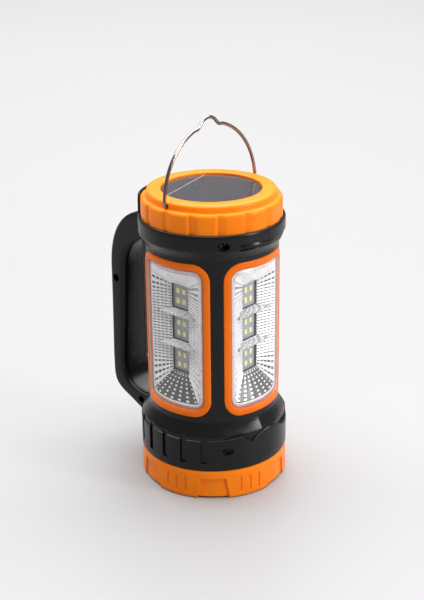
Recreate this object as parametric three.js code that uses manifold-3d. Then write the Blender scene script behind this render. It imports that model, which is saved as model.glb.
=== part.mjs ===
// Rechargeable lantern torch: a spotlight head at the bottom, three side lights round the
// barrel, a solar cell in the cap, a D handle at the back and a wire bail on top.
// Millimetres, +Z up. The lamp stands on its head, the front light faces -Y, the handle is
// at +Y and the clamshell housing splits on the plane x = 0.

import * as THREE from 'three';
import { mergeVertices } from 'three/addons/utils/BufferGeometryUtils.js';
import Module from 'manifold-3d';

const wasm = await Module();
wasm.setup();

// ---- driving dimensions -------------------------------------------------------------

const GAP = 0.3; // between pieces that touch
const WALL = 2.4; // moulded wall
const ROUND = 48; // sides of a full turn
const BARREL_Y = -16.5; // barrel axis, so that the origin is under the middle of the box
const FAR = 60; // beyond every surface of the barrel

// The housing. Inside, a bulkhead parts the spotlight head from the barrel.
const TUBE_R = 42;
const HEAD_R = 47.5;
const HEAD_LOW = 20.3;
const HEAD_HIGH = 41;
const FLARE_TOP = 50;
const NECK_LOW = 162;
const NECK_HIGH = 166.6;
const NECK_R = 46;
const NECK_TOP = 176.3;
const BULKHEAD_BORE_R = 17;
const BULKHEAD_LOW = 44.3;
const BULKHEAD_T = 2;

const BEZEL_R = 47.3;
const BEZEL_H = 20;
const BEZEL_LIP_R = 39.8; // inner edge of the lip that holds the lens
const BEZEL_LIP = 2.1;
const BEZEL_NECK_R = 44.4; // the part that goes up inside the housing
const BEZEL_NECK_TOP = 27.5;
const BEZEL_BORE_R = 42.2;
const BEZEL_PANELS = 6;
const BEZEL_PANEL_AT = -49.5; // degrees from the front
const BEZEL_PANEL_LOW_HALF = 10.7;
const BEZEL_PANEL_HIGH_HALF = 8.3;
const BEZEL_PANEL_TOP = 14.4;
const BEZEL_PANEL_DEPTH = 0.8;

// The spotlight behind the bezel: a parabolic bowl, its lamp and a finned heat sink.
const SPOT_LENS_R = 41.6;
const SPOT_LENS_LOW = 2.4;
const SPOT_LENS_TOP = 4.8;
const SEAL_TOP = 6.9;
const BOWL_R = 39;
const BOWL_HOLE_R = 8;
const BOWL_LOW = 7.2;
const BOWL_DEPTH = 24;
const BOWL_T = 1.1;
const BOWL_RIM_R = 41.7;
const BOWL_RIM_T = 1.2;
const SINK_R = 16;
const SINK_CORE_R = 8;
const SINK_LOW = 34.1;
const SINK_PLATE = 1.4;
const SINK_FINS = 2;
const SINK_PITCH = 4.2;
const SINK_SLOT = 2.6;

const WINDOW_ANGLES = { front: 0, left: -90, right: 90 };
const WINDOW_HALF = 39.4; // degrees
const WINDOW_LOW = 55;
const WINDOW_HIGH = 157;
const WINDOW_CORNER = 11.5;
const FRAME_WIDTH = 4.6;
const FRAME_R = 42.4;
const LENS_R = 42.1;
const RIM_R = 39.9;
const RIM_WIDTH = 2.7;

const BOARD_FACE = 29.1; // LED board's front face, from the barrel axis
const BOARD_HALF = 9;
const CELL_COUNT = 3;
const CELL_PITCH = 21.4;
const CELL_W = 13.6;
const CELL_H = 16.4;
const CELL_MID = 108;
const LED_W = 2.8;
const LED_H = 3.5;
const LED_STEP_X = 4.8;
const LED_STEP_Z = 6.8;
const BOARD_LOW = 72;
const BOARD_HIGH = 144;
const BOARD_T = 1.2;

const CAP_R = 44.15;
const CAP_LOW = NECK_TOP + GAP;
const CAP_STEP = 188.8;
const CAP_GROOVES = 16;
const RING_R = 40.6;
const RING_TOP = 193.3;
const SOLAR_R = 31;
const SOLAR_TOP = 191.9;
const SOLAR_T = 1.3;
const CAP_FLOOR = 187.2; // underside of the wall below the solar cell
const CAP_THREAD_R = 42.9; // the skirt that screws into the housing
const CAP_THREAD_LOW = 174;
const CAP_BORE_R = 40.6;
const LEAD_HOLE_R = 7;

const BAIL_R = 42;
const BAIL_WIRE = 1.1;
const BAIL_Z = 190.3;
const BAIL_RISE = 47.2; // pivot to crest
const BAIL_LEAN = 2.5; // degrees towards the handle
const BAIL_HUMP = 13; // half width of the hook hump
const BAIL_FOOT = 37.6;

const HANDLE_HALF = 13;
const HANDLE_ROUND = 4;
const BACKBONE_HALF = 12.4;
const BACKBONE_Y = 52;
const BACKBONE_LOW = 69.6;
const BACKBONE_HIGH = 156;

const BUTTON_Z = 84;
const BUTTON_R = 5.5;
const BUTTON_TOP = 80.2;
const BUTTON_TRAVEL = 1;
const BUTTON_BASE = 75.6;
const BUTTON_FLANGE = 1.2; // how far the flange stands out
const SWITCH_TOP = 73.4;
const SWITCH_H = 2;
const SWITCH_HALF = 6;
const PLUNGER_R = 1.8;
const SPRING_R = 3.4;
const SPRING_WIRE = 0.25;
const SPRING_TURNS = 2;

const PORT_Z = 127;
const PORT_HALF_X = 4.4;
const PORT_HALF_Z = 3.6;
const PORT_BACK = 69.4;
const PORT_FRONT = 77;
const PORT_SIDE_WALL = 0.8;
const PORT_BACK_WALL = 1.6;
const FLAP_Y = 78.55; // middle of the flap's thickness
const FLAP_T = 1.5;
const FLAP_HINGE_Z = 136.2;
const FLAP_LOW = 119;
const FLAP_HALF = 7.1;
const FLAP_SEAT_Y = 77.4; // floor of the recess that the flap lies in

// Grip flutes on each side of the head collar, open at the top where the flare recedes.
const FLUTE_COUNT = 5;
const FLUTE_STEP = 16.75; // degrees
const FLUTE_HALF = 1.95;
const FLUTE_DEPTH = 1.2;
const FLUTE_LOW = 25;

// Reliefs in the front of both collars: outlines of [degrees from the front, height].
const RELIEF_DEPTH = 1.25;
const HEAD_RELIEFS = [
  [[-26.4, 42.3], [-18, 37.5], [-12, 40.9], [-6, 42.6], [-6, 44.2], [-26.4, 44.2]],
  [[6, 42.6], [12, 40.9], [20, 38.2], [30, 37], [44, 37], [44, 44.2], [25, 44.2], [6, 44.2]],
];
const NECK_RELIEFS = [
  [[-26.5, 164.8], [-17, 164.8], [-10, 168.4], [-17, 169.2], [-26.5, 169.4]],
  [[8, 168.3], [20, 164.8], [32, 164.8], [44, 164.8], [44, 168.2], [26, 168.2]],
];

// The wall behind the cap, on the handle's side.
const GUARD_FROM = 143; // degrees from the front
const GUARD_TO = 217;
const GUARD_T = 1.4;
const GUARD_GAP = 0.6;

// Screw places: distance towards +Y and height, with the x of the head's seat.
const SCREWS = {
  screw_neck: { y: -35, z: 169.4, seat: -16 },
  screw_head: { y: -37.1, z: 33.6, seat: -16 },
  screw_grip: { y: 73.9, z: 118.9, seat: -8.6 },
  screw_handle_foot: { y: 54, z: 35.2, seat: -8.6 },
};
const SCREW_HOLE_R = 2.6;
const SCREW_HEAD_R = 2.2;
const SCREW_HEAD_H = 1.8;
const SCREW_SHANK_R = 1.3;
const SCREW_END = 8;
const SCREW_CLEAR_R = 1.65;
const BOSS_R = 4.2;

// ---- finishes -----------------------------------------------------------------------

function finish(color, roughness, metalness, extra = {}) {
  return new THREE.MeshStandardMaterial({ color, roughness, metalness, ...extra });
}

const ORANGE = finish(0xf4701a, 0.42, 0);
const BLACK = finish(0x191718, 0.5, 0);
const CLEAR = finish(0xf4f6f8, 0.05, 0, { transparent: true, opacity: 0.3 });
const MIRROR = finish(0xe9eaec, 0.12, 1);
const STEEL = finish(0xb9b7b4, 0.2, 1);
const ALUMINIUM = finish(0xc2c4c8, 0.4, 1);
const RUBBER = finish(0x202020, 0.8, 0);
const SILICON = finish(0x35363c, 0.18, 0.1);
const BOARD_WHITE = finish(0xd9dbdc, 0.5, 0);
const BOARD_GREEN = finish(0x1f5a34, 0.5, 0);
const LED_YELLOW = finish(0xf1e67a, 0.35, 0);
const CELL_BLUE = finish(0x2d6fa8, 0.35, 0);
const PLASTIC_GREY = finish(0x6d6f72, 0.6, 0);

// ---- solids -------------------------------------------------------------------------

function solidOf(source) {
  const bare = source.clone();
  for (const name of Object.keys(bare.attributes)) {
    if (name !== 'position') bare.deleteAttribute(name);
  }
  const merged = mergeVertices(bare, 1e-4);
  const index = merged.index.array;
  const triangles = [];
  for (let i = 0; i < index.length; i += 3) {
    const [a, b, c] = [index[i], index[i + 1], index[i + 2]];
    if (a !== b && b !== c && c !== a) triangles.push(a, b, c);
  }
  const mesh = new wasm.Mesh({
    numProp: 3,
    vertProperties: new Float32Array(merged.attributes.position.array),
    triVerts: new Uint32Array(triangles),
  });
  return new wasm.Manifold(mesh);
}

function geometryOf(solid) {
  const mesh = solid.getMesh();
  const geometry = new THREE.BufferGeometry();
  geometry.setAttribute('position', new THREE.BufferAttribute(mesh.vertProperties, 3));
  geometry.setIndex(new THREE.BufferAttribute(mesh.triVerts, 1));
  geometry.computeVertexNormals();
  return geometry;
}

function join(solids) {
  return solids.reduce((all, solid) => all.add(solid));
}

// A closed profile of [radius, height] turned about Z; angle 0 is at -Y.
function revolve(profile, sides = ROUND) {
  const closed = [...profile, profile[0]];
  const points = closed.map(([r, z]) => new THREE.Vector2(r, z));
  if (THREE.ShapeUtils.isClockWise(points)) points.reverse();
  const geometry = new THREE.LatheGeometry(points, sides);
  geometry.rotateX(Math.PI / 2);
  return solidOf(geometry);
}

function tube(inner, outer, low, high, sides = ROUND) {
  return revolve([[inner, low], [outer, low], [outer, high], [inner, high]], sides);
}

function disc(radius, low, high, sides = ROUND) {
  return revolve([[0, low], [radius, low], [radius, high], [0, high]], sides);
}

function box(x, y, z) {
  const geometry = new THREE.BoxGeometry(x[1] - x[0], y[1] - y[0], z[1] - z[0]);
  geometry.translate((x[0] + x[1]) / 2, (y[0] + y[1]) / 2, (z[0] + z[1]) / 2);
  return solidOf(geometry);
}

function rodX(radius, x, y, z, sides = 12) {
  const geometry = new THREE.CylinderGeometry(radius, radius, x[1] - x[0], sides);
  geometry.rotateZ(Math.PI / 2);
  geometry.translate((x[0] + x[1]) / 2, y, z);
  return solidOf(geometry);
}

function rodY(radius, y, z, sides = 24, x = 0) {
  const geometry = new THREE.CylinderGeometry(radius, radius, y[1] - y[0], sides);
  geometry.translate(x, (y[0] + y[1]) / 2, z);
  return solidOf(geometry);
}

function rodZ(radius, x, y, z, sides = 24) {
  const geometry = new THREE.CylinderGeometry(radius, radius, z[1] - z[0], sides);
  geometry.rotateX(Math.PI / 2);
  geometry.translate(x, y, (z[0] + z[1]) / 2);
  return solidOf(geometry);
}

// A rounded rectangle as an anticlockwise loop, its long edges cut into steps.
function roundedLoop(half, low, high, corner, cornerSteps, edgeSteps) {
  const centres = [
    [half - corner, low + corner, -90],
    [half - corner, high - corner, 0],
    [-half + corner, high - corner, 90],
    [-half + corner, low + corner, 180],
  ];
  const loop = [];
  centres.forEach(([x, z, start], side) => {
    for (let i = 0; i <= cornerSteps; i += 1) {
      const a = THREE.MathUtils.degToRad(start + (90 * i) / cornerSteps);
      loop.push(new THREE.Vector2(x + corner * Math.cos(a), z + corner * Math.sin(a)));
    }
    const next = centres[(side + 1) % 4];
    const a = THREE.MathUtils.degToRad(next[2]);
    const end = new THREE.Vector2(next[0] + corner * Math.cos(a), next[1] + corner * Math.sin(a));
    const last = loop[loop.length - 1];
    for (let i = 1; i < edgeSteps; i += 1) loop.push(last.clone().lerp(end, i / edgeSteps));
  });
  return loop;
}

// A solid through loops of equal length; each end is a fan from the loop's middle.
function loft(loops) {
  const count = loops[0].length;
  const positions = loops.flat().flatMap((p) => [p.x, p.y, p.z]);
  const triangles = [];
  for (let k = 0; k + 1 < loops.length; k += 1) {
    for (let i = 0; i < count; i += 1) {
      const j = (i + 1) % count;
      const [a, b] = [k * count + i, k * count + j];
      triangles.push(a, b, b + count, a, b + count, a + count);
    }
  }
  for (const [k, turn] of [[0, false], [loops.length - 1, true]]) {
    const middle = loops[k].reduce((sum, p) => sum.add(p), new THREE.Vector3());
    middle.divideScalar(count);
    const hub = positions.length / 3;
    positions.push(middle.x, middle.y, middle.z);
    for (let i = 0; i < count; i += 1) {
      const [a, b] = [k * count + i, k * count + ((i + 1) % count)];
      triangles.push(hub, ...(turn ? [a, b] : [b, a]));
    }
  }
  const geometry = new THREE.BufferGeometry();
  geometry.setAttribute('position', new THREE.Float32BufferAttribute(positions, 3));
  geometry.setIndex(triangles);
  return solidOf(geometry);
}

const WINDOW_CORNER_STEPS = 3;
const WINDOW_EDGE_STEPS = 4;

// The front window's outline pulled in by inset, laid on a cylinder of the given radius.
function windowLoop(radius, inset) {
  const half = THREE.MathUtils.degToRad(WINDOW_HALF) * FRAME_R - inset;
  const loop = roundedLoop(
    half, WINDOW_LOW + inset, WINDOW_HIGH - inset, Math.max(WINDOW_CORNER - inset, 1),
    WINDOW_CORNER_STEPS, WINDOW_EDGE_STEPS,
  );
  return loop.map(({ x, y }) => {
    const angle = x / FRAME_R;
    return new THREE.Vector3(radius * Math.sin(angle), -radius * Math.cos(angle), y);
  });
}

// Everything behind and in front of the front window's outline.
function windowWedge(inset) {
  return loft([windowLoop(30, inset), windowLoop(FAR, inset)]);
}

function alongX(geometry) {
  const [x, y, z] = [0, 1, 2].map((i) => new THREE.Vector3().setComponent(i, 1));
  geometry.applyMatrix4(new THREE.Matrix4().makeBasis(y, z, x));
  return solidOf(geometry);
}

// ---- the scene graph ----------------------------------------------------------------

const lamp = new THREE.Group();
const barrel = new THREE.Group();
barrel.position.y = BARREL_Y;
lamp.add(barrel);

function addPiece(name, solid, material, parent = barrel) {
  const mesh = new THREE.Mesh(geometryOf(solid), material);
  mesh.name = name;
  parent.add(mesh);
  return mesh;
}

// ---- spotlight head -----------------------------------------------------------------

function bezel() {
  const ring = revolve([
    [BEZEL_LIP_R, 0], [BEZEL_R - 1.1, 0], [BEZEL_R, 1.2], [BEZEL_R, BEZEL_H - 0.6],
    [BEZEL_R - 0.6, BEZEL_H], [BEZEL_NECK_R, BEZEL_H], [BEZEL_NECK_R, BEZEL_NECK_TOP],
    [BEZEL_BORE_R, BEZEL_NECK_TOP], [BEZEL_BORE_R, BEZEL_LIP], [BEZEL_LIP_R, BEZEL_LIP],
  ]);
  const outline = new THREE.Shape([
    new THREE.Vector2(-BEZEL_PANEL_LOW_HALF, -1), new THREE.Vector2(BEZEL_PANEL_LOW_HALF, -1),
    new THREE.Vector2(BEZEL_PANEL_HIGH_HALF, BEZEL_PANEL_TOP),
    new THREE.Vector2(-BEZEL_PANEL_HIGH_HALF, BEZEL_PANEL_TOP),
  ]);
  const geometry = new THREE.ExtrudeGeometry(outline, { depth: FAR, bevelEnabled: false });
  geometry.rotateX(Math.PI / 2);
  const panel = solidOf(geometry).subtract(disc(BEZEL_R - BEZEL_PANEL_DEPTH, -5, BEZEL_H + 5));
  let cut = ring;
  for (let i = 0; i < BEZEL_PANELS; i += 1) {
    cut = cut.subtract(panel.rotate([0, 0, BEZEL_PANEL_AT + (360 / BEZEL_PANELS) * i]));
  }
  return cut;
}

function spotReflector() {
  const rimTop = BOWL_LOW + BOWL_RIM_T;
  const outside = [[BOWL_RIM_R, BOWL_LOW], [BOWL_RIM_R, rimTop], [BOWL_R + 0.9, rimTop]];
  const inside = [[BOWL_R, BOWL_LOW]];
  const steps = 5;
  for (let i = 1; i <= steps; i += 1) {
    const r = BOWL_R - (BOWL_R - BOWL_HOLE_R) * (i / steps);
    const z = BOWL_LOW + 0.9 + BOWL_DEPTH * (1 - (r / BOWL_R) ** 2);
    inside.push([r, z]);
    outside.push([r + BOWL_T, z + BOWL_T]);
  }
  return revolve([...outside, ...inside.reverse()], 32);
}

function heatSink() {
  const finLow = SINK_LOW + SINK_PLATE;
  const profile = [[0, SINK_LOW], [SINK_R, SINK_LOW], [SINK_R, finLow]];
  for (let i = 0; i < SINK_FINS; i += 1) {
    const z = finLow + i * SINK_PITCH;
    profile.push(
      [SINK_CORE_R, z], [SINK_CORE_R, z + SINK_SLOT], [SINK_R, z + SINK_SLOT],
      [SINK_R, z + SINK_PITCH],
    );
  }
  profile.push([0, finLow + SINK_FINS * SINK_PITCH]);
  return revolve(profile, 24);
}

function spotLamp() {
  const base = SINK_LOW - 1.8;
  return revolve([
    [0, base - 2.7], [1.8, base - 2.3], [2.6, base - 1.3], [2.6, base - 1.1],
    [3.6, base - 1.1], [3.6, base], [0, base],
  ], 16);
}

addPiece('head_bezel', bezel(), ORANGE);
addPiece('spot_lens', disc(SPOT_LENS_R, SPOT_LENS_LOW, SPOT_LENS_TOP), CLEAR);
const seal = tube(BOWL_R + 0.9, BOWL_RIM_R, SPOT_LENS_TOP + GAP, SEAL_TOP, 32);
addPiece('lens_seal', seal, RUBBER);
addPiece('spot_reflector', spotReflector(), MIRROR);
const lampBoard = disc(SINK_R - 6, SINK_LOW - GAP - BOARD_T, SINK_LOW - GAP, 24);
addPiece('spot_led_board', lampBoard, ALUMINIUM);
addPiece('spot_led', spotLamp(), LED_YELLOW);
addPiece('heat_sink', heatSink(), ALUMINIUM);

// ---- clamshell housing with its D handle --------------------------------------------

const OUTER_PROFILE = [
  [0, HEAD_LOW], [HEAD_R, HEAD_LOW], [HEAD_R, HEAD_HIGH], [46.4, 43.6], [44.6, 46.6],
  [43.2, 49], [TUBE_R, FLARE_TOP + 1.2], [TUBE_R, NECK_LOW - 2.4], [43.4, NECK_LOW],
  [NECK_R, NECK_HIGH], [NECK_R, NECK_TOP], [0, NECK_TOP],
];

const INNER_PROFILE = [
  [0, HEAD_LOW - 1], [HEAD_R - 2.6, HEAD_LOW - 1], [HEAD_R - 2.6, 40.2],
  [TUBE_R - WALL, FLARE_TOP], [TUBE_R - WALL, NECK_LOW], [NECK_R - 2.7, 167.4],
  [NECK_R - 2.7, NECK_TOP + 1], [0, NECK_TOP + 1],
];

// The D handle seen from the side: x is towards the handle, y is up.
function handleShape() {
  const shape = new THREE.Shape();
  shape.moveTo(24, 171.6);
  shape.lineTo(42, 171.2);
  shape.lineTo(50.5, 169.4);
  shape.bezierCurveTo(66, 167, 79.2, 155, 79.5, 126.8);
  shape.lineTo(79.5, 101.5);
  shape.lineTo(80.5, 64);
  shape.lineTo(80.5, 50.5);
  shape.quadraticCurveTo(80.5, 41.5, 71.1, 36.2);
  shape.lineTo(42, 20.4);
  shape.lineTo(24, 20.4);
  shape.closePath();
  const loop = new THREE.Path();
  loop.moveTo(36.5, 40);
  loop.lineTo(51, 40.3);
  loop.bezierCurveTo(60, 41.5, 70.2, 44.5, 70, 59);
  loop.lineTo(66, 129);
  loop.bezierCurveTo(65, 140, 58, 149, 47, 152);
  loop.lineTo(36.5, 154);
  loop.closePath();
  shape.holes.push(loop);
  return shape;
}

function handleSolid() {
  const geometry = new THREE.ExtrudeGeometry(handleShape(), {
    depth: 2 * (HANDLE_HALF - HANDLE_ROUND),
    bevelEnabled: true,
    bevelThickness: HANDLE_ROUND,
    bevelSize: HANDLE_ROUND,
    bevelOffset: -HANDLE_ROUND,
    bevelSegments: 2,
    curveSegments: 4,
  });
  geometry.translate(0, 0, -(HANDLE_HALF - HANDLE_ROUND));
  return alongX(geometry);
}

function handleCavity() {
  const thin = 0.5;
  const half = HANDLE_HALF - WALL - thin;
  const geometry = new THREE.ExtrudeGeometry(handleShape(), {
    depth: 2 * half,
    bevelEnabled: true,
    bevelThickness: thin,
    bevelSize: 0,
    bevelOffset: -WALL,
    bevelSegments: 1,
    curveSegments: 4,
  });
  geometry.translate(0, 0, -half);
  return alongX(geometry);
}

// Everything outwards from radius, behind an outline of [degrees, height] pairs.
function patch(outline, radius) {
  const at = (r) => outline.map(([degrees, z]) => {
    const a = THREE.MathUtils.degToRad(degrees);
    return new THREE.Vector3(r * Math.sin(a), -r * Math.cos(a), z);
  });
  const heights = outline.map(([, z]) => z);
  const ring = tube(radius, FAR, Math.min(...heights) - 1, Math.max(...heights) + 1);
  return loft([at(radius / 2), at(2 * FAR)]).intersect(ring);
}

function collarFlutes() {
  const middle = (FLUTE_COUNT - 1) / 2;
  const bottom = HEAD_R - FLUTE_DEPTH;
  const flute = box([-FLUTE_HALF, FLUTE_HALF], [-FAR, -bottom], [FLUTE_LOW, FLARE_TOP]);
  const flutes = [-90, 90].flatMap((side) => (
    Array.from({ length: FLUTE_COUNT }, (_, i) => (
      flute.rotate([0, 0, side + (i - middle) * FLUTE_STEP])
    ))
  ));
  return join(flutes);
}

function collarReliefs() {
  return join([
    ...HEAD_RELIEFS.map((outline) => patch(outline, HEAD_R - RELIEF_DEPTH)),
    ...NECK_RELIEFS.map((outline) => patch(outline, NECK_R - RELIEF_DEPTH)),
  ]);
}

// A wall round the handle's side of the cap.
function capGuard() {
  const steps = 6;
  const degrees = Array.from({ length: steps + 1 }, (_, i) => (
    GUARD_FROM + ((GUARD_TO - GUARD_FROM) * i) / steps
  ));
  const low = degrees.map((a) => [a, NECK_TOP - 1]);
  const high = degrees.map((a) => [a, CAP_STEP - GUARD_GAP]).reverse();
  const inner = CAP_R + GUARD_GAP;
  const arc = tube(inner, inner + GUARD_T, NECK_TOP - 2, CAP_STEP + 1);
  return patch([...low, ...high], inner - 1).intersect(arc);
}

function housing() {
  const backbone = box(
    [-BACKBONE_HALF, BACKBONE_HALF], [30, BACKBONE_Y], [BACKBONE_LOW, BACKBONE_HIGH],
  );
  const backboneRoom = box(
    [-BACKBONE_HALF + WALL, BACKBONE_HALF - WALL], [30, BACKBONE_Y - WALL],
    [BACKBONE_LOW + WALL, BACKBONE_HIGH - WALL],
  );
  const outside = join([revolve(OUTER_PROFILE), handleSolid(), backbone]);
  const inside = join([revolve(INNER_PROFILE), handleCavity(), backboneRoom]);
  const bosses = Object.values(SCREWS).map(({ y, z, seat }) => (
    rodX(BOSS_R, [2 * seat, -2 * seat], y, z)
  ));
  const bulkhead = tube(
    BULKHEAD_BORE_R, TUBE_R + 1.6, BULKHEAD_LOW, BULKHEAD_LOW + BULKHEAD_T,
  );
  const pad = FLAP_HALF + 1.5;
  const portPad = box(
    [-pad, pad], [FLAP_SEAT_Y - 2.6, FLAP_SEAT_Y + 0.6], [FLAP_LOW - 2, FLAP_HINGE_Z + 2.8],
  );
  const fittings = join([...bosses, portPad]).intersect(outside).add(bulkhead);
  let shell = join([outside.subtract(inside), fittings, capGuard()]);
  shell = shell.subtract(collarFlutes()).subtract(collarReliefs());
  for (const degrees of Object.values(WINDOW_ANGLES)) {
    shell = shell.subtract(windowWedge(-GAP).rotate([0, 0, degrees]));
  }
  for (const { y, z, seat } of Object.values(SCREWS)) {
    shell = shell.subtract(rodX(SCREW_HOLE_R, [-FAR, seat], y, z));
    shell = shell.subtract(rodX(SCREW_CLEAR_R, [seat - 1, SCREW_END + 0.5], y, z, 12));
  }
  const outwards = BUTTON_TOP + 4;
  const portX = PORT_HALF_X + 0.6;
  const portZ = PORT_HALF_Z + 0.4;
  const buttonBore = rodY(BUTTON_R + 0.4, [SWITCH_TOP + 0.6, outwards], BUTTON_Z, 20);
  const portHole = box(
    [-portX, portX], [PORT_BACK + 0.6, outwards], [PORT_Z - portZ, PORT_Z + portZ],
  );
  const flapRecess = box(
    [-FLAP_HALF - 0.5, FLAP_HALF + 0.5], [FLAP_SEAT_Y, outwards],
    [FLAP_LOW - 0.5, FLAP_HINGE_Z + 1.2],
  );
  return shell.subtract(join([buttonBore, portHole, flapRecess]));
}

const shell = housing();
const half = GAP / 2;
const leftSide = box([-2 * FAR, -half], [-2 * FAR, 2 * FAR], [0, 250]);
const rightSide = box([half, 2 * FAR], [-2 * FAR, 2 * FAR], [0, 250]);
addPiece('housing_left', shell.intersect(leftSide), BLACK);
addPiece('housing_right', shell.intersect(rightSide), BLACK);

function screw(seat) {
  const head = rodX(SCREW_HEAD_R, [seat - GAP - SCREW_HEAD_H, seat - GAP], 0, 0, 16);
  return head.add(rodX(SCREW_SHANK_R, [seat - GAP - 0.5, SCREW_END], 0, 0, 8));
}

for (const [name, { y, z, seat }] of Object.entries(SCREWS)) {
  addPiece(name, screw(seat), STEEL).position.set(0, y, z);
}

// ---- side lights --------------------------------------------------------------------

// The flat back of a side reflector: a loop with as many points as the window's.
function backLoop(y, grow) {
  const low = CELL_MID - CELL_PITCH - CELL_H / 2;
  const high = CELL_MID + CELL_PITCH + CELL_H / 2;
  const loop = roundedLoop(
    CELL_W / 2 + 0.2 + grow, low - grow, high + grow, 0.8,
    WINDOW_CORNER_STEPS, WINDOW_EDGE_STEPS,
  );
  return loop.map((p) => new THREE.Vector3(p.x, -y, p.y));
}

function cellHeights() {
  return Array.from({ length: CELL_COUNT }, (_, i) => CELL_MID + (i - 1) * CELL_PITCH);
}

function sideReflector() {
  const wall = 1.1;
  const rimInset = FRAME_WIDTH + RIM_WIDTH;
  const back = BOARD_FACE + GAP;
  const envelope = loft([
    backLoop(back, wall), windowLoop(RIM_R, rimInset - wall), windowLoop(FAR, rimInset - wall),
  ]).intersect(disc(RIM_R, 40, 170));
  const rim = tube(RIM_R - 1.2, RIM_R, 40, 170).intersect(windowWedge(FRAME_WIDTH + GAP));
  const basin = loft([
    backLoop(back + 1, 0), windowLoop(RIM_R, rimInset), windowLoop(FAR, rimInset),
  ]);
  const cells = cellHeights().map((z) => (
    box([-CELL_W / 2, CELL_W / 2], [-back - 3, -back + 3], [z - CELL_H / 2, z + CELL_H / 2])
  ));
  return envelope.add(rim).subtract(basin).subtract(join(cells));
}

function ledBoard() {
  const board = box(
    [-BOARD_HALF, BOARD_HALF], [-BOARD_FACE, -BOARD_FACE + BOARD_T], [BOARD_LOW, BOARD_HIGH],
  );
  const leds = [];
  for (const z of cellHeights()) {
    for (const [i, k] of [[-1, -1], [1, -1], [-1, 1], [1, 1]]) {
      const x = (i * LED_STEP_X) / 2;
      const up = z + (k * LED_STEP_Z) / 2;
      leds.push(box(
        [x - LED_W / 2, x + LED_W / 2], [-BOARD_FACE - 0.8, -BOARD_FACE + 0.2],
        [up - LED_H / 2, up + LED_H / 2],
      ));
    }
  }
  return board.add(join(leds));
}

const frameSolid = tube(TUBE_R - WALL - 0.4, FRAME_R, 40, 170)
  .intersect(windowWedge(0)).subtract(windowWedge(FRAME_WIDTH));
const lensSolid = tube(LENS_R - 1.8, LENS_R, 40, 170).intersect(windowWedge(FRAME_WIDTH + GAP));
const reflectorSolid = sideReflector();
const boardSolid = ledBoard();

for (const [side, degrees] of Object.entries(WINDOW_ANGLES)) {
  const light = new THREE.Group();
  light.rotation.z = THREE.MathUtils.degToRad(degrees);
  barrel.add(light);
  addPiece(`window_frame_${side}`, frameSolid, ORANGE, light);
  addPiece(`window_lens_${side}`, lensSolid, CLEAR, light);
  addPiece(`side_reflector_${side}`, reflectorSolid, MIRROR, light);
  addPiece(`side_led_board_${side}`, boardSolid, BOARD_WHITE, light);
}

// ---- cap, solar cell and bail -------------------------------------------------------

function capRing() {
  const ring = revolve([
    [CAP_R, CAP_LOW], [CAP_R, CAP_STEP - 1.6], [CAP_R - 1.6, CAP_STEP],
    [RING_R, CAP_STEP], [RING_R, RING_TOP - 1.6], [RING_R - 1.6, RING_TOP],
    [SOLAR_R + GAP, RING_TOP], [SOLAR_R + GAP, SOLAR_TOP - SOLAR_T - GAP],
    [LEAD_HOLE_R, SOLAR_TOP - SOLAR_T - GAP], [LEAD_HOLE_R, CAP_FLOOR],
    [CAP_BORE_R, CAP_FLOOR - 0.8], [CAP_BORE_R, CAP_THREAD_LOW],
    [CAP_THREAD_R, CAP_THREAD_LOW], [CAP_THREAD_R, CAP_LOW],
  ]);
  const groove = rodZ(2.4, 0, -CAP_R - 1.75, [CAP_THREAD_LOW - 4, CAP_STEP - 1.6], 12);
  const grooves = Array.from({ length: CAP_GROOVES }, (_, i) => (
    groove.rotate([0, 0, (360 / CAP_GROOVES) * i])
  ));
  const pivots = [-1, 1].map((side) => (
    rodX(BAIL_WIRE + 0.4, side > 0 ? [BAIL_FOOT - 1, 42] : [-42, 1 - BAIL_FOOT], 0, BAIL_Z)
  ));
  return ring.subtract(join([...grooves, ...pivots]));
}

// The wire's middle line in its own plane: feet, round legs and the hook hump.
function bailPoints() {
  const points = [[BAIL_FOOT, 0], [BAIL_R - 1.5, 0], [BAIL_R - 0.3, 0.5]];
  const humpAngle = Math.acos(BAIL_HUMP / BAIL_R);
  const steps = 10;
  for (let i = 1; i <= steps; i += 1) {
    const a = 0.04 + (humpAngle - 0.04) * (i / steps);
    points.push([BAIL_R * Math.cos(a), BAIL_R * Math.sin(a)]);
  }
  points.push([BAIL_HUMP - 3.4, BAIL_RISE - 5.6], [4.6, BAIL_RISE - 1.2], [0, BAIL_RISE]);
  const mirrored = points.slice(0, -1).reverse().map(([x, z]) => [-x, z]);
  return [...points, ...mirrored].map(([x, z]) => new THREE.Vector3(x, 0, z));
}

function bail() {
  const path = new THREE.CatmullRomCurve3(bailPoints(), false, 'centripetal');
  const section = new THREE.Shape();
  section.absarc(0, 0, BAIL_WIRE, 0, Math.PI * 2);
  const geometry = new THREE.ExtrudeGeometry(section, {
    steps: 48, curveSegments: 3, bevelEnabled: false, extrudePath: path,
  });
  return solidOf(geometry);
}

addPiece('cap_ring', capRing(), ORANGE);
addPiece('solar_panel', disc(SOLAR_R, SOLAR_TOP - SOLAR_T, SOLAR_TOP), SILICON);
const bailMesh = addPiece('bail', bail(), STEEL);
bailMesh.position.z = BAIL_Z;
bailMesh.rotation.x = -THREE.MathUtils.degToRad(BAIL_LEAN);

// ---- push switch in the handle ------------------------------------------------------

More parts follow.
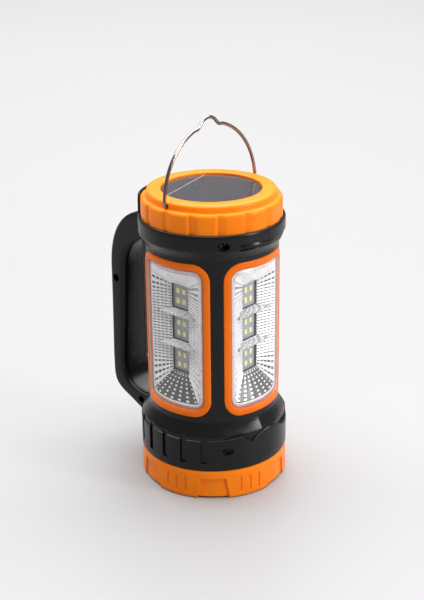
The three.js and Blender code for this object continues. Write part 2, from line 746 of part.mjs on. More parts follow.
// The groove under the button holds the spring and takes up its travel.
const springSeat = [BUTTON_BASE - 1, BUTTON_BASE + BUTTON_TRAVEL + GAP];
const springGroove = rodY(SPRING_R + 0.8, springSeat, 0, 16)
  .subtract(rodY(SPRING_R - 0.8, [BUTTON_BASE - 2, BUTTON_BASE + 3], 0, 16));
const button = rodY(BUTTON_R, [BUTTON_BASE, BUTTON_TOP - 0.6], 0, 16)
  .add(rodY(BUTTON_R - 0.6, [BUTTON_TOP - 1, BUTTON_TOP], 0, 16))
  .add(rodY(BUTTON_R + BUTTON_FLANGE, [BUTTON_BASE + GAP, BUTTON_BASE + 1.6], 0, 16))
  .subtract(springGroove);
addPiece('switch_button', button, RUBBER).position.z = BUTTON_Z;

const plungerTop = BUTTON_BASE - BUTTON_TRAVEL - GAP;
const switchSide = [-SWITCH_HALF, SWITCH_HALF];
const switchBody = box(switchSide, [SWITCH_TOP - SWITCH_H, SWITCH_TOP], switchSide)
  .add(rodY(PLUNGER_R, [SWITCH_TOP - 1, plungerTop], 0, 16));
addPiece('switch_body', switchBody, PLASTIC_GREY).position.z = BUTTON_Z;

function switchSpring() {
  const low = SWITCH_TOP + GAP + SPRING_WIRE;
  const high = BUTTON_BASE - GAP - SPRING_WIRE;
  class Helix extends THREE.Curve {
    getPoint(t) {
      const a = t * SPRING_TURNS * 2 * Math.PI;
      const up = low + (high - low) * t;
      return new THREE.Vector3(SPRING_R * Math.cos(a), up, SPRING_R * Math.sin(a));
    }
  }
  const section = new THREE.Shape();
  section.absarc(0, 0, SPRING_WIRE, 0, Math.PI * 2);
  const geometry = new THREE.ExtrudeGeometry(section, {
    steps: SPRING_TURNS * 14, curveSegments: 3, bevelEnabled: false, extrudePath: new Helix(),
  });
  return solidOf(geometry);
}

addPiece('switch_spring', switchSpring(), STEEL).position.z = BUTTON_Z;

// ---- charging port and its rubber flap ----------------------------------------------

function chargePort() {
  const mouthX = PORT_HALF_X - PORT_SIDE_WALL;
  const mouthZ = PORT_HALF_Z - PORT_SIDE_WALL;
  const mouth = box(
    [-mouthX, mouthX], [PORT_BACK + PORT_BACK_WALL, PORT_FRONT + 1], [-mouthZ, mouthZ],
  );
  return box(
    [-PORT_HALF_X, PORT_HALF_X], [PORT_BACK, PORT_FRONT], [-PORT_HALF_Z, PORT_HALF_Z],
  ).subtract(mouth);
}

addPiece('charge_port', chargePort(), STEEL).position.z = PORT_Z;

function portFlap() {
  const halfT = FLAP_T / 2;
  const plate = box([-FLAP_HALF, FLAP_HALF], [-halfT, halfT], [FLAP_LOW - FLAP_HINGE_Z, 0]);
  const knuckle = rodX(halfT, [-FLAP_HALF, FLAP_HALF], 0, 0, 16);
  const plugLow = PORT_Z - FLAP_HINGE_Z - 2;
  const plug = box([-2.6, 2.6], [-halfT - 1.4, -halfT + 0.4], [plugLow, plugLow + 4]);
  return join([plate, knuckle, plug]);
}

addPiece('port_flap', portFlap(), RUBBER).position.set(0, FLAP_Y, FLAP_HINGE_Z);

// ---- battery and electronics --------------------------------------------------------

const CELL_R = 9.2;
const CELL_X = 10; // middle of each battery cell
const CELL_LOW = 56;
const CELL_LONG = 65;
const HOLDER_HALF = 21;
const HOLDER_END = 2.4;
const HOLDER_ROOM = 0.6; // between a cell and the holder's ends

function batteryHolder() {
  const low = CELL_LOW - HOLDER_ROOM - HOLDER_END;
  const high = CELL_LOW + CELL_LONG + HOLDER_ROOM;
  const across = [-HOLDER_HALF, HOLDER_HALF];
  const tray = box(across, [3, 15], [low, high + HOLDER_END]);
  const ends = [low, high].map((z) => box(across, [-7, 4], [z, z + HOLDER_END]));
  const bores = [-1, 1].map((side) => (
    rodZ(CELL_R + 0.5, side * CELL_X, 0, [CELL_LOW - HOLDER_ROOM, high], 20)
  ));
  return join([tray, ...ends]).subtract(join(bores));
}

function batteryCell() {
  const top = CELL_LOW + CELL_LONG;
  return revolve([
    [0, CELL_LOW], [CELL_R - 0.6, CELL_LOW], [CELL_R, CELL_LOW + 0.8], [CELL_R, top - 2],
    [CELL_R - 0.7, top - 1.2], [3.2, top - 1.2], [3.2, top], [0, top],
  ], 20);
}

function controlBoard() {
  const board = box([-17, 17], [18, 19.6], [58, 120]);
  const chips = [
    box([-12, -4], [19.2, 22], [66, 76]), box([4, 11], [19.2, 26], [64, 74]),
    box([-10, 8], [19.2, 21.4], [88, 100]), box([-3, 3], [19.2, 25], [108, 116]),
  ];
  return join([board, ...chips]);
}

addPiece('battery_holder', batteryHolder(), PLASTIC_GREY);
addPiece('battery_cell_left', batteryCell(), CELL_BLUE).position.x = -CELL_X;
addPiece('battery_cell_right', batteryCell(), CELL_BLUE).position.x = CELL_X;
addPiece('control_board', controlBoard(), BOARD_GREEN);

export default lamp;
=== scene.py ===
import math

import bmesh
import bpy
import numpy as np
from mathutils import Matrix, Vector


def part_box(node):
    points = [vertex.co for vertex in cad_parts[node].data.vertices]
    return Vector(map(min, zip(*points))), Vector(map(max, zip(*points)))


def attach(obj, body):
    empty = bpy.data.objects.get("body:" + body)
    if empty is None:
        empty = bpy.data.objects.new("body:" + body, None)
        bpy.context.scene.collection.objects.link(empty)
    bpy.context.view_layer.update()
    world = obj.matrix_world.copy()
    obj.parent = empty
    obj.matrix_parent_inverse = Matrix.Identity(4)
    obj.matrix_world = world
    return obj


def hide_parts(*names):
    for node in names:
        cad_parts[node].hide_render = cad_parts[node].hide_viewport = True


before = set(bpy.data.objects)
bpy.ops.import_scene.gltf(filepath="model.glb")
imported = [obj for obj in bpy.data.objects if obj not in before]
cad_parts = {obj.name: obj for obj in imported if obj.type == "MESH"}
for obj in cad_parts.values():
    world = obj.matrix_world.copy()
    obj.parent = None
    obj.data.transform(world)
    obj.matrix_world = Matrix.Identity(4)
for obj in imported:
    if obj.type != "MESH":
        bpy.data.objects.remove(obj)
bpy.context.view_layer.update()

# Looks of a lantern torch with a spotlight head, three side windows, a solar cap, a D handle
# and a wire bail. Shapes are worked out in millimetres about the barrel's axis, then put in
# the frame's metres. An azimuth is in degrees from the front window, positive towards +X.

MM = 0.001
BEZEL_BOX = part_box("head_bezel")
AXIS_Y = (BEZEL_BOX[0].y + BEZEL_BOX[1].y) / 2


def node_box(node):
    """A CAD node's lowest and highest corners in millimetres about the barrel's axis."""
    return [Vector((c.x, c.y - AXIS_Y, c.z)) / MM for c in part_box(node)]


# ---- sizes ---------------------------------------------------------------------------

BODY = "lamp_body"
TURN = 600  # columns round a full turn of the finest surfaces
TUBE_R = 42.0
HEAD_R = 47.5
HEAD_LOW = 20.3
FLARE_TOP = 51.5
NECK_R = 46.0
NECK_TOP = 176.3
SEAM = 0.14

BEZEL_R = node_box("head_bezel")[1].x
BEZEL_TOP = 20.0
BEZEL_PANELS = 6
BEZEL_PANEL_AT = -49.5
BEZEL_PANEL_TOP = 14.4

WINDOWS = {"front": 0, "left": -90, "right": 90}
WINDOW_HALF = math.radians(39.4) * 42.4  # along the curved face
WINDOW_LOW = 55.0
WINDOW_HIGH = 157.0
WINDOW_CORNER = 11.5
FRAME_WIDTH = 4.6
FRAME_R = 42.4

CAP_LOW = node_box("cap_ring")[0].z
CAP_R = 44.15
CAP_STEP = 188.8
CAP_TOP = node_box("cap_ring")[1].z
CAP_GROOVES = 16
RING_R = 40.6
SOLAR_LOW, SOLAR_HIGH = node_box("solar_panel")
SOLAR_R = SOLAR_HIGH.x

SCREWS = {  # distance towards +Y, height, and the x of the head's seat
    "screw_neck": (-35.0, 169.4, -16.0),
    "screw_head": (-37.1, 33.6, -16.0),
    "screw_grip": (73.9, 118.9, -8.6),
    "screw_handle_foot": (54.0, 35.2, -8.6),
}
BORE_R = 2.6
BORE_START = -70.0
SCREW_HEAD_T = 2.1
BUTTON_Z = 84.0
FLAP_Y = 78.55
FLAP_HALF = 7.1
FLAP_HALF_T = 0.75
FLAP_HINGE_Z = 136.2

# ---- materials -----------------------------------------------------------------------


class Shader:
    """A material with one Principled shader and the object's own coordinates."""

    def __init__(self, name, **values):
        self.material = bpy.data.materials.new(name)
        self.material.use_nodes = True
        self.nodes = self.material.node_tree.nodes
        self.links = self.material.node_tree.links
        self.principled = self.nodes["Principled BSDF"]
        self.place = self.nodes.new("ShaderNodeTexCoord").outputs["Object"]
        for socket, value in values.items():
            self.principled.inputs[socket.replace("_", " ")].default_value = value

    def node(self, kind, settings=None, **inputs):
        made = self.nodes.new(kind)
        for key, value in (settings or {}).items():
            setattr(made, key, value)
        for key, value in inputs.items():
            socket = made.inputs[key.replace("_", " ")]
            if isinstance(value, bpy.types.NodeSocket):
                self.links.new(value, socket)
            else:
                socket.default_value = value
        return made

    def noise(self, scale, detail=3.0, roughness=0.55, stretch=(1, 1, 1)):
        mapping = self.node("ShaderNodeMapping", Vector=self.place, Scale=stretch)
        made = self.node("ShaderNodeTexNoise", Vector=mapping.outputs[0], Scale=scale,
                         Detail=detail, Roughness=roughness)
        return made.outputs["Fac"]

    def spread(self, value, low, high, start=0.0, end=1.0):
        made = self.node("ShaderNodeMapRange", Value=value)
        numbers = {"From Min": start, "From Max": end, "To Min": low, "To Max": high}
        for key, number in numbers.items():
            made.inputs[key].default_value = number
        return made.outputs["Result"]

    def blend(self, factor, first, second):
        made = self.nodes.new("ShaderNodeMix")
        made.data_type = "RGBA"
        sockets = [s for s in made.inputs if s.enabled]
        for socket, value in zip(sockets, (factor, first, second)):
            if isinstance(value, bpy.types.NodeSocket):
                self.links.new(value, socket)
            else:
                socket.default_value = value
        return [s for s in made.outputs if s.enabled][0]

    def edges(self, low=0.5, high=0.62):
        """1 on worn convex edges, 0 elsewhere."""
        pointy = self.nodes.new("ShaderNodeNewGeometry").outputs["Pointiness"]
        return self.spread(pointy, 0.0, 1.0, low, high)

    def feed(self, socket, value):
        self.links.new(value, self.principled.inputs[socket])

    def bump(self, height, strength, distance):
        made = self.node("ShaderNodeBump", Height=height, Strength=strength, Distance=distance)
        self.feed("Normal", made.outputs[0])


def rgb(red, green, blue):
    """A Principled colour from display values of 0 to 255."""
    def linear(value):
        value /= 255
        return value / 12.92 if value <= 0.04045 else ((value + 0.055) / 1.055) ** 2.4
    return (linear(red), linear(green), linear(blue), 1.0)


def moulded(name, colour, light, worn, roughness, grain, **values):
    """Moulded plastic: slow colour change, spark-eroded grain, polished edges."""
    s = Shader(name, **values)
    tone = s.blend(s.spread(s.noise(22, 4), 0, 1, 0.35, 0.68), colour, light)
    scuffs = s.spread(s.noise(160, 6, 0.7), 0, 1, 0.52, 0.7)
    wear = s.node("ShaderNodeMath", {"operation": "MULTIPLY"})
    s.links.new(s.edges(), wear.inputs[0])
    s.links.new(scuffs, wear.inputs[1])
    s.feed("Base Color", s.blend(wear.outputs[0], tone, worn))
    blotches = s.noise(60, 5, 0.65)
    s.feed("Roughness", s.spread(blotches, roughness - 0.05, roughness + 0.07, 0.3, 0.7))
    s.bump(s.noise(2600, 2, 0.6), grain, 0.00012)
    return s.material


def clear_material(name, colour, other, facing, grazing, roughness):
    """Clear plastic: see-through, its cover rising where the surface turns away."""
    s = Shader(name, Specular_IOR_Level=0.5)
    s.feed("Base Color", s.blend(s.noise(70, 3), colour, other))
    turned_away = s.node("ShaderNodeLayerWeight", Blend=0.5).outputs["Facing"]
    s.feed("Alpha", s.spread(turned_away, facing, grazing, 0.6, 1.0))
    s.feed("Roughness", s.spread(s.noise(90, 3), roughness, roughness + 0.05, 0.4, 0.8))
    s.bump(s.noise(60, 2), 0.03, 0.0003)
    return s.material


def metal(name, colour, other, roughness, scale, strength, metallic=1.0, stretch=(1, 1, 1)):
    s = Shader(name, Metallic=metallic)
    s.feed("Base Color", s.blend(s.noise(scale, 4, 0.6, stretch), colour, other))
    blotches = s.noise(scale * 1.7, 4, 0.6, stretch)
    s.feed("Roughness", s.spread(blotches, roughness * 0.7, roughness * 1.4))
    s.bump(s.noise(scale * 3, 3, 0.5, stretch), strength, 0.0002)
    return s.material


def solar_material():
    """Dark silicon with hair-thin fingers under clear resin."""
    s = Shader("solar_silicon", Coat_Weight=0.6, Coat_Roughness=0.05, Specular_IOR_Level=0.4)
    turned = s.node("ShaderNodeMapping", Vector=s.place, Rotation=(0, 0, math.radians(28)))
    lines = s.node("ShaderNodeTexWave", {"wave_type": "BANDS", "bands_direction": "Y"},
                   Vector=turned.outputs[0], Scale=170.0, Distortion=0.4, Detail=1.0)
    fingers = s.spread(lines.outputs["Fac"], 0, 0.55, 0.72, 0.95)
    crystals = s.blend(s.noise(70, 5, 0.7), rgb(30, 30, 34), rgb(42, 41, 46))
    s.feed("Base Color", s.blend(fingers, crystals, rgb(66, 65, 70)))
    s.feed("Roughness", s.spread(s.noise(130, 4), 0.2, 0.32))
    s.bump(lines.outputs["Fac"], 0.15, 0.0001)
    return s.material


def rubber_material():
    s = Shader("soft_rubber", Specular_IOR_Level=0.35)
    s.feed("Base Color", s.blend(s.noise(45, 5), rgb(22, 22, 23), rgb(36, 35, 36)))
    s.feed("Roughness", s.spread(s.noise(200, 4), 0.62, 0.85))
    s.bump(s.noise(1800, 3), 0.25, 0.0002)
    return s.material


def board_material(name, colour, other):
    s = Shader(name, Coat_Weight=0.25, Coat_Roughness=0.3)
    s.feed("Base Color", s.blend(s.noise(120, 4), colour, other))
    s.feed("Roughness", s.spread(s.noise(300, 3), 0.4, 0.6))
    s.bump(s.noise(900, 3), 0.1, 0.0001)
    return s.material


ORANGE = moulded("orange_abs", rgb(240, 121, 0), rgb(246, 129, 1), rgb(252, 144, 26), 0.33, 0.1,
                 Specular_IOR_Level=0.2)
# The window frames' orange: the bezel's plastic made darker as painted shade.
ORANGE_PAINTED_SHADE = moulded("orange_abs_frame_painted_shade", rgb(226, 103, 2), rgb(234, 111, 4), rgb(246, 132, 30),
                      0.38, 0.1, Specular_IOR_Level=0.2)
BLACK = moulded("black_abs", rgb(15, 14, 15), rgb(19, 18, 19), rgb(30, 29, 29), 0.27, 0.2,
                Specular_IOR_Level=0.24)
LENS = clear_material("clear_polycarbonate", rgb(246, 247, 248), rgb(240, 242, 243), 0.04, 0.55,
                      0.04)
# Pinkish lens border and cut edge: painted reflection of the orange frame in the clear lens.
LENS_BAND_PAINTED_REFLECTION = clear_material("lens_border_painted_reflection", rgb(240, 214, 208), rgb(232, 200, 196), 0.12, 0.75, 0.16)
LENS_EDGE_PAINTED_REFLECTION = clear_material("lens_cut_edge_painted_reflection", rgb(196, 150, 142), rgb(166, 118, 112), 0.6, 1.0, 0.25)
MIRROR = metal("metallised_plastic", rgb(252, 252, 252), rgb(246, 246, 248), 0.26, 40, 0.03, 0.2)
# Shaded copies of the metallised plastic: the dark, grey and speckled ones are painted shade.
MIRROR_PAINTED_SHADE_DARK = metal("metallised_painted_shade_dark", rgb(44, 44, 46), rgb(30, 30, 32), 0.45, 300, 0.05, 0.1)
MIRROR_PAINTED_SHADE_GREY = metal("metallised_painted_shade_grey", rgb(112, 111, 110), rgb(84, 83, 82), 0.35, 600, 0.2, 0.4)
MIRROR_PAINTED_SHADE_SPECK = metal("metallised_painted_shade_speckle", rgb(168, 166, 164), rgb(98, 97, 96), 0.35, 900, 0.3, 0.3)
STEEL_WIRE = metal("plated_wire", rgb(150, 142, 134), rgb(120, 112, 106), 0.12, 260, 0.08,
                   stretch=(1, 1, 0.2))
# Screw metal darkened to near black: painted shade of the deep bores the heads sit in.
ZINC_PAINTED_SHADE = metal("zinc_screw_painted_shade", rgb(30, 30, 31), rgb(20, 20, 21), 0.5, 420, 0.12, 0.6)
PORT_METAL = metal("stamped_steel", rgb(184, 184, 188), rgb(150, 150, 154), 0.3, 500, 0.1)
ALUMINIUM = metal("aluminium", rgb(196, 198, 202), rgb(176, 178, 182), 0.38, 300, 0.12,
                  stretch=(1, 1, 6))
BUS_BAR = metal("bus_bar", rgb(206, 198, 200), rgb(186, 180, 182), 0.3, 400, 0.05, 0.6)
SOLAR = solar_material()
RUBBER = rubber_material()
BOARD = board_material("led_board_mask", rgb(176, 176, 184), rgb(160, 160, 170))
PHOSPHOR = board_material("led_phosphor", rgb(250, 248, 168), rgb(246, 244, 150))
LED_CASE = board_material("led_case", rgb(236, 236, 214), rgb(228, 228, 204))
CIRCUIT = board_material("green_mask", rgb(28, 92, 54), rgb(22, 76, 46))
GREY = moulded("grey_abs", rgb(104, 105, 108), rgb(116, 117, 120), rgb(140, 141, 144), 0.55, 0.2)
WRAP = moulded("battery_sleeve", rgb(40, 108, 168), rgb(48, 120, 180), rgb(90, 150, 200), 0.3, 0.05)

# ---- mesh making ---------------------------------------------------------------------


def skin(rings, closed=False, wrap=True, caps=False):
    """Vertices and faces through rings of equal length. closed joins the last to the first."""
    rings = [np.asarray(ring, float) for ring in rings]
    count = len(rings[0])
    columns = np.arange(count if wrap else count - 1)
    after = (columns + 1) % count
    faces = []
    for k in range(len(rings) if closed else len(rings) - 1):
        low, high = k * count, ((k + 1) % len(rings)) * count
        quads = np.stack([low + columns, low + after, high + after, high + columns], 1)
        faces += quads.tolist()
    if caps:
        faces.append(list(range(count))[::-1])
        faces.append(list(range((len(rings) - 1) * count, len(rings) * count)))
    return np.concatenate(rings), faces


def merge(parts):
    """Joins (vertices, faces) pairs into one pair."""
    vertices, faces, start = [], [], 0
    for some, theirs in parts:
        vertices.append(np.asarray(some, float))
        faces += [[start + i for i in face] for face in theirs]
        start += len(some)
    return np.concatenate(vertices), faces


def polar(radius, azimuth, z):
    """Points from radius, azimuth in degrees and height."""
    angle = np.radians(azimuth)
    radius, angle, z = np.broadcast_arrays(radius, angle, z)
    return np.stack([radius * np.sin(angle), -radius * np.cos(angle), z], -1)


def turned(profile, columns=TURN):
    """A closed profile of (radius, height) turned about the axis."""
    azimuth = np.arange(columns) * 360 / columns
    return skin([polar(r, azimuth, z) for r, z in profile], closed=True)


def solid_disc(profile, columns=180):
    """A profile of (radius, height) from axis to axis, its ends capped by small faces."""
    azimuth = np.arange(columns) * 360 / columns
    return skin([polar(max(r, 0.05), azimuth, z) for r, z in profile], caps=True)


def make(name, shape, materials, sharp=32, face_slots=None):
    """An object in the frame's metres from millimetre geometry."""
    vertices, faces = shape
    points = np.asarray(vertices, float) * MM
    points[:, 1] += AXIS_Y
    mesh = bpy.data.meshes.new(name)
    mesh.from_pydata(points.tolist(), [], faces)
    for material in materials if isinstance(materials, (list, tuple)) else [materials]:
        mesh.materials.append(material)
    if face_slots is not None:
        mesh.polygons.foreach_set("material_index", np.asarray(face_slots, np.int32))
    obj = bpy.data.objects.new(name, mesh)
    bpy.context.scene.collection.objects.link(obj)
    face_outwards(obj)
    shade(obj, sharp)
    return obj


def face_outwards(obj):
    bm = bmesh.new()
    bm.from_mesh(obj.data)
    bmesh.ops.recalc_face_normals(bm, faces=bm.faces)
    bm.to_mesh(obj.data)
    bm.free()


def shade(obj, sharp):
    obj.data.polygons.foreach_set("use_smooth", [True] * len(obj.data.polygons))
    obj.data.set_sharp_from_angle(angle=math.radians(sharp))


def bake_modifiers(obj):
    """Puts the result of obj's modifiers in its mesh."""
    graph = bpy.context.evaluated_depsgraph_get()
    made = bpy.data.meshes.new_from_object(obj.evaluated_get(graph))
    obj.modifiers.clear()
    old, obj.data = obj.data, made
    bpy.data.meshes.remove(old)


def combine(obj, tool, operation="DIFFERENCE"):
    """Cuts obj by tool, an object or a shape, or joins tool to it. The tool is removed."""
    if isinstance(tool, tuple):
        tool = make("tool", tool, obj.data.materials[0])
    modifier = obj.modifiers.new("combine", "BOOLEAN")
    modifier.object = tool
    modifier.operation = operation
    modifier.solver = "MANIFOLD"
    bake_modifiers(obj)
    bpy.data.objects.remove(tool)


def piece(obj, node_names, body=BODY):
    """obj rides on its body and stands for the CAD nodes."""
    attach(obj, body)
    if node_names:
        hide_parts(*node_names)


def rounded_box(low, high, radius, steps=4):
    """A box with its edges along Z rounded, and softened ends."""
    corners = ((high[0], high[1], 0), (low[0], high[1], 90),
               (low[0], low[1], 180), (high[0], low[1], 270))
    soft = min(radius, (high[2] - low[2]) / 2.2) * 0.6
    rings = []
    for z, inset in ((low[2], soft), (low[2] + 0.3 * soft, 0.3 * soft), (low[2] + soft, 0),
                     (high[2] - soft, 0), (high[2] - 0.3 * soft, 0.3 * soft), (high[2], soft)):
        ring = []
        for cx, cy, start in corners:
            sx = 1 if cx == high[0] else -1
            sy = 1 if cy == high[1] else -1
            for i in range(steps + 1):
                a = math.radians(start + 90 * i / steps)
                ring.append((cx - sx * radius + (radius - inset) * math.cos(a),
                             cy - sy * radius + (radius - inset) * math.sin(a), z))
        rings.append(ring)
    return skin(rings, caps=True)


def swept(points, radius, sides=20):
    """A round bar along points, its section carried without twist."""
    points = [Vector(p) for p in points]
    tangents = [(points[min(i + 1, len(points) - 1)] - points[max(i - 1, 0)]).normalized()
                for i in range(len(points))]
    side = tangents[0].orthogonal().normalized()
    rings = []
    for point, tangent in zip(points, tangents):
        side = (side - tangent * side.dot(tangent)).normalized()
        other = tangent.cross(side)
        rings.append([point + radius * (math.cos(a) * side + math.sin(a) * other)
                      for a in np.linspace(0, 2 * math.pi, sides, endpoint=False)])
    return skin(rings, caps=True)


def bezier(points, steps):
    """Points on a Bezier curve of any degree, without its first point."""
    found = []
    for t in np.linspace(0, 1, steps + 1)[1:]:
        level = [np.asarray(p, float) for p in points]
        while len(level) > 1:
            level = [a + (b - a) * t for a, b in zip(level, level[1:])]
        found.append(level[0])
    return found


def ramp(azimuth, table):
    """Straight-line interpolation of (azimuth, value) pairs."""
    places, values = zip(*table)
    return np.interp(azimuth, places, values)


# ---- spotlight head ------------------------------------------------------------------


def bezel_columns():
    """Each column's panel centre, then its place across the panel or its offset past it, and
    whether it lies inside the panel."""
    step = 360 / BEZEL_PANELS
    columns = []
    for k in range(BEZEL_PANELS):
        centre = BEZEL_PANEL_AT + k * step
        columns += [(centre, s, 0.0, 1) for s in np.linspace(-0.96, 0.96, 15)]
        columns.append((centre, 1.0, 0.0, 0))
        offsets = [2.0]
        for at in (-8.0, 0.0, 8.0):
            offsets += [step / 2 + at + d for d in (-0.95, -0.55, 0.0, 0.55, 0.95)]
            offsets.append(step / 2 + at + 4.0)
        for offset in sorted(offsets + [step / 2 - 12.0]):
            if 11.5 < offset < step - 13.5:
                columns.append((centre, None, offset, 0))
        columns.append((centre + step, -1.0, 0.0, 0))
    return columns


def bezel():
    low_half, high_half = 12.9, 10.0
    profile = [  # radius, height
        (39.8, 0.0), (45.6, 0.0), (46.3, 0.12), (46.85, 0.45), (47.15, 0.9), (BEZEL_R, 1.5),
        (BEZEL_R, 3.3), (BEZEL_R, 3.6), (BEZEL_R, 8.0), (BEZEL_R, 12.0), (BEZEL_R, 13.9),
        (BEZEL_R, 14.15), (BEZEL_R, 14.4), (BEZEL_R, 14.75), (BEZEL_R, 17.0),
        (BEZEL_R, BEZEL_TOP - 0.7), (BEZEL_R - 0.2, BEZEL_TOP - 0.2),
        (BEZEL_R - 0.7, BEZEL_TOP), (44.4, BEZEL_TOP), (44.4, 27.5), (42.2, 27.5),
        (42.2, 2.1), (39.8, 2.1),
    ]
    rings = []
    for r, z in profile:
        on_face = r > 45 and z < 19
        share = min(max((z - 1) / (BEZEL_PANEL_TOP - 1), 0), 1)
        half = low_half + (high_half - low_half) * share
        in_panel = on_face and z <= BEZEL_PANEL_TOP - 0.2
        in_groove = on_face and 3.5 < z < 14.2
        azimuth, radius = [], []
        for centre, across, offset, inside in bezel_columns():
            if across is None:
                azimuth.append(centre + offset)
                from_groove = min(abs(offset - 30 - at) for at in (-8, 0, 8))
                depth = 0.6 if in_groove and from_groove < 0.6 else 0.0
            else:
                azimuth.append(centre + across * half)
                depth = (2.6 if z < 1.2 else 1.15) if inside and in_panel else 0.0
            radius.append(r - depth)
        rings.append(polar(np.array(radius), np.array(azimuth), z))
    return skin(rings, closed=True)


def spot_reflector():
    """A deep parabolic bowl with a hole for the lamp; its faceted wall is drawn smooth."""
    bowl = [(r, 8.1 + 24 * (1 - (r / 39) ** 2)) for r in np.linspace(39, 8, 26)]
    inner = [(39.0, 7.2)] + bowl
    outer = [(r + 1.1, z + 1.1) for r, z in reversed(bowl[1:])]
    return turned(inner + outer + [(39.9, 8.4), (41.7, 8.4), (41.7, 7.2)], 180)


def build_head():
    piece(make("bezel", bezel(), ORANGE, 24), ["head_bezel"])
    glass = [(0, 2.5), (40.6, 2.5), (41.3, 2.7), (41.6, 3.1), (41.6, 4.4), (41.3, 4.8), (0, 4.8)]
    piece(make("spot_glass", solid_disc(glass), LENS), ["spot_lens"])
    seal = [(39.9, 5.2), (40.2, 5.0), (41.4, 5.0), (41.7, 5.2), (41.7, 6.7), (41.4, 6.9),
            (40.2, 6.9), (39.9, 6.7)]
    piece(make("lens_gasket", turned(seal, 180), RUBBER), ["lens_seal"])
    piece(make("spot_bowl", spot_reflector(), MIRROR), ["spot_reflector"])


# ---- housing -------------------------------------------------------------------------

HEAD_EDGE = [  # height of the head collar's upper edge
    (-180, 41.0), (-60, 41.0), (-27, 42.4), (-26, 42.2), (-18, 37.6), (-15, 39.3), (-11, 41.2),
    (-6, 42.7), (0, 43.3), (6, 42.7), (11, 41.2), (16, 39.3), (22, 37.8), (30, 37.0),
    (44, 36.8), (49, 41.0), (180, 41.0),
]
FLARE = [(30, 47.4), (38, 47.4), (41.0, 47.3), (43.6, 46.4), (46.6, 44.6), (49.0, 43.2),
         (51.1, 42.15), (FLARE_TOP, 42.05)]
FLARE_RIGHT = [(30, 46.0), (36.8, 46.0), (42, 47.2), (44.5, 46.7), (47, 45.4), (51.1, 42.3),
               (FLARE_TOP, 42.05)]
FLARE_RIGHT_SHARE = [(-180, 0), (6.8, 0), (22, 1), (44, 1), (52, 0), (180, 0)]
FACETS = [(-42, -7.1, 0.7), (-6.9, 6.9, 1.6), (7.1, 42, 0.6)]  # from, to, how flat
NECK_EDGE = [(-180, 169.5), (-26, 169.6), (-10, 169.4), (0, 168.9), (10, 168.3), (44, 168.3),
             (60, 169.5), (180, 169.5)]
NECK_CUT = [(-180, 0), (-26.9, 0), (-26.3, 1.5), (-17, 1.1), (-10, 0.5), (0, 0.4), (180, 0)]
NECK_UNDER = [(-180, 0), (4, 0), (14, 0.8), (44, 1), (47, 0), (180, 0)]
FLUTE_PLACES = [side * 90 + i * 16.75 for side in (-1, 1) for i in range(-2, 3)]
FLUTE_HALF = 2.35  # degrees
FLUTE_WALL = 0.08  # degrees either side of a side wall
FLUTE_DEPTH = 1.3
FLUTE_LOW = 25.0


def flutes(azimuth):
    """1 on the flat grip flutes of the head collar, 0 between them."""
    found = np.zeros_like(azimuth)
    for place in FLUTE_PLACES:
        away = np.abs((azimuth - place + 180) % 360 - 180)
        inside = np.clip((FLUTE_HALF + FLUTE_WALL - away) / (2 * FLUTE_WALL), 0, 1)
        found = np.maximum(found, inside)
    return found


def housing_columns():
    """Evenly spaced azimuths, with close pairs where a flute's side walls stand."""
    walls = [place + side * (FLUTE_HALF + nudge) for place in FLUTE_PLACES
             for side in (-1, 1) for nudge in (-FLUTE_WALL, FLUTE_WALL)]
    walls = (np.array(walls) + 180) % 360 - 180
    even = np.arange(TURN) * 360 / TURN - 180
    clear = np.min(np.abs(even[:, None] - walls[None]), axis=1) > 0.2
    return np.sort(np.concatenate([even[clear], walls]))


def facet_depth(azimuth):
    """How far each column of the flare lies below the round, for nearly flat facets."""
    depth = np.zeros_like(azimuth)
    for start, end, flat in FACETS:
        middle, half = np.radians((start + end) / 2), np.radians((end - start) / 2)
        away = np.abs(np.radians(azimuth) - middle)
        chord = HEAD_R * (1 - math.cos(half) / np.cos(np.minimum(away, half)))
        depth += np.where(away < half, flat * chord, 0)
    return depth


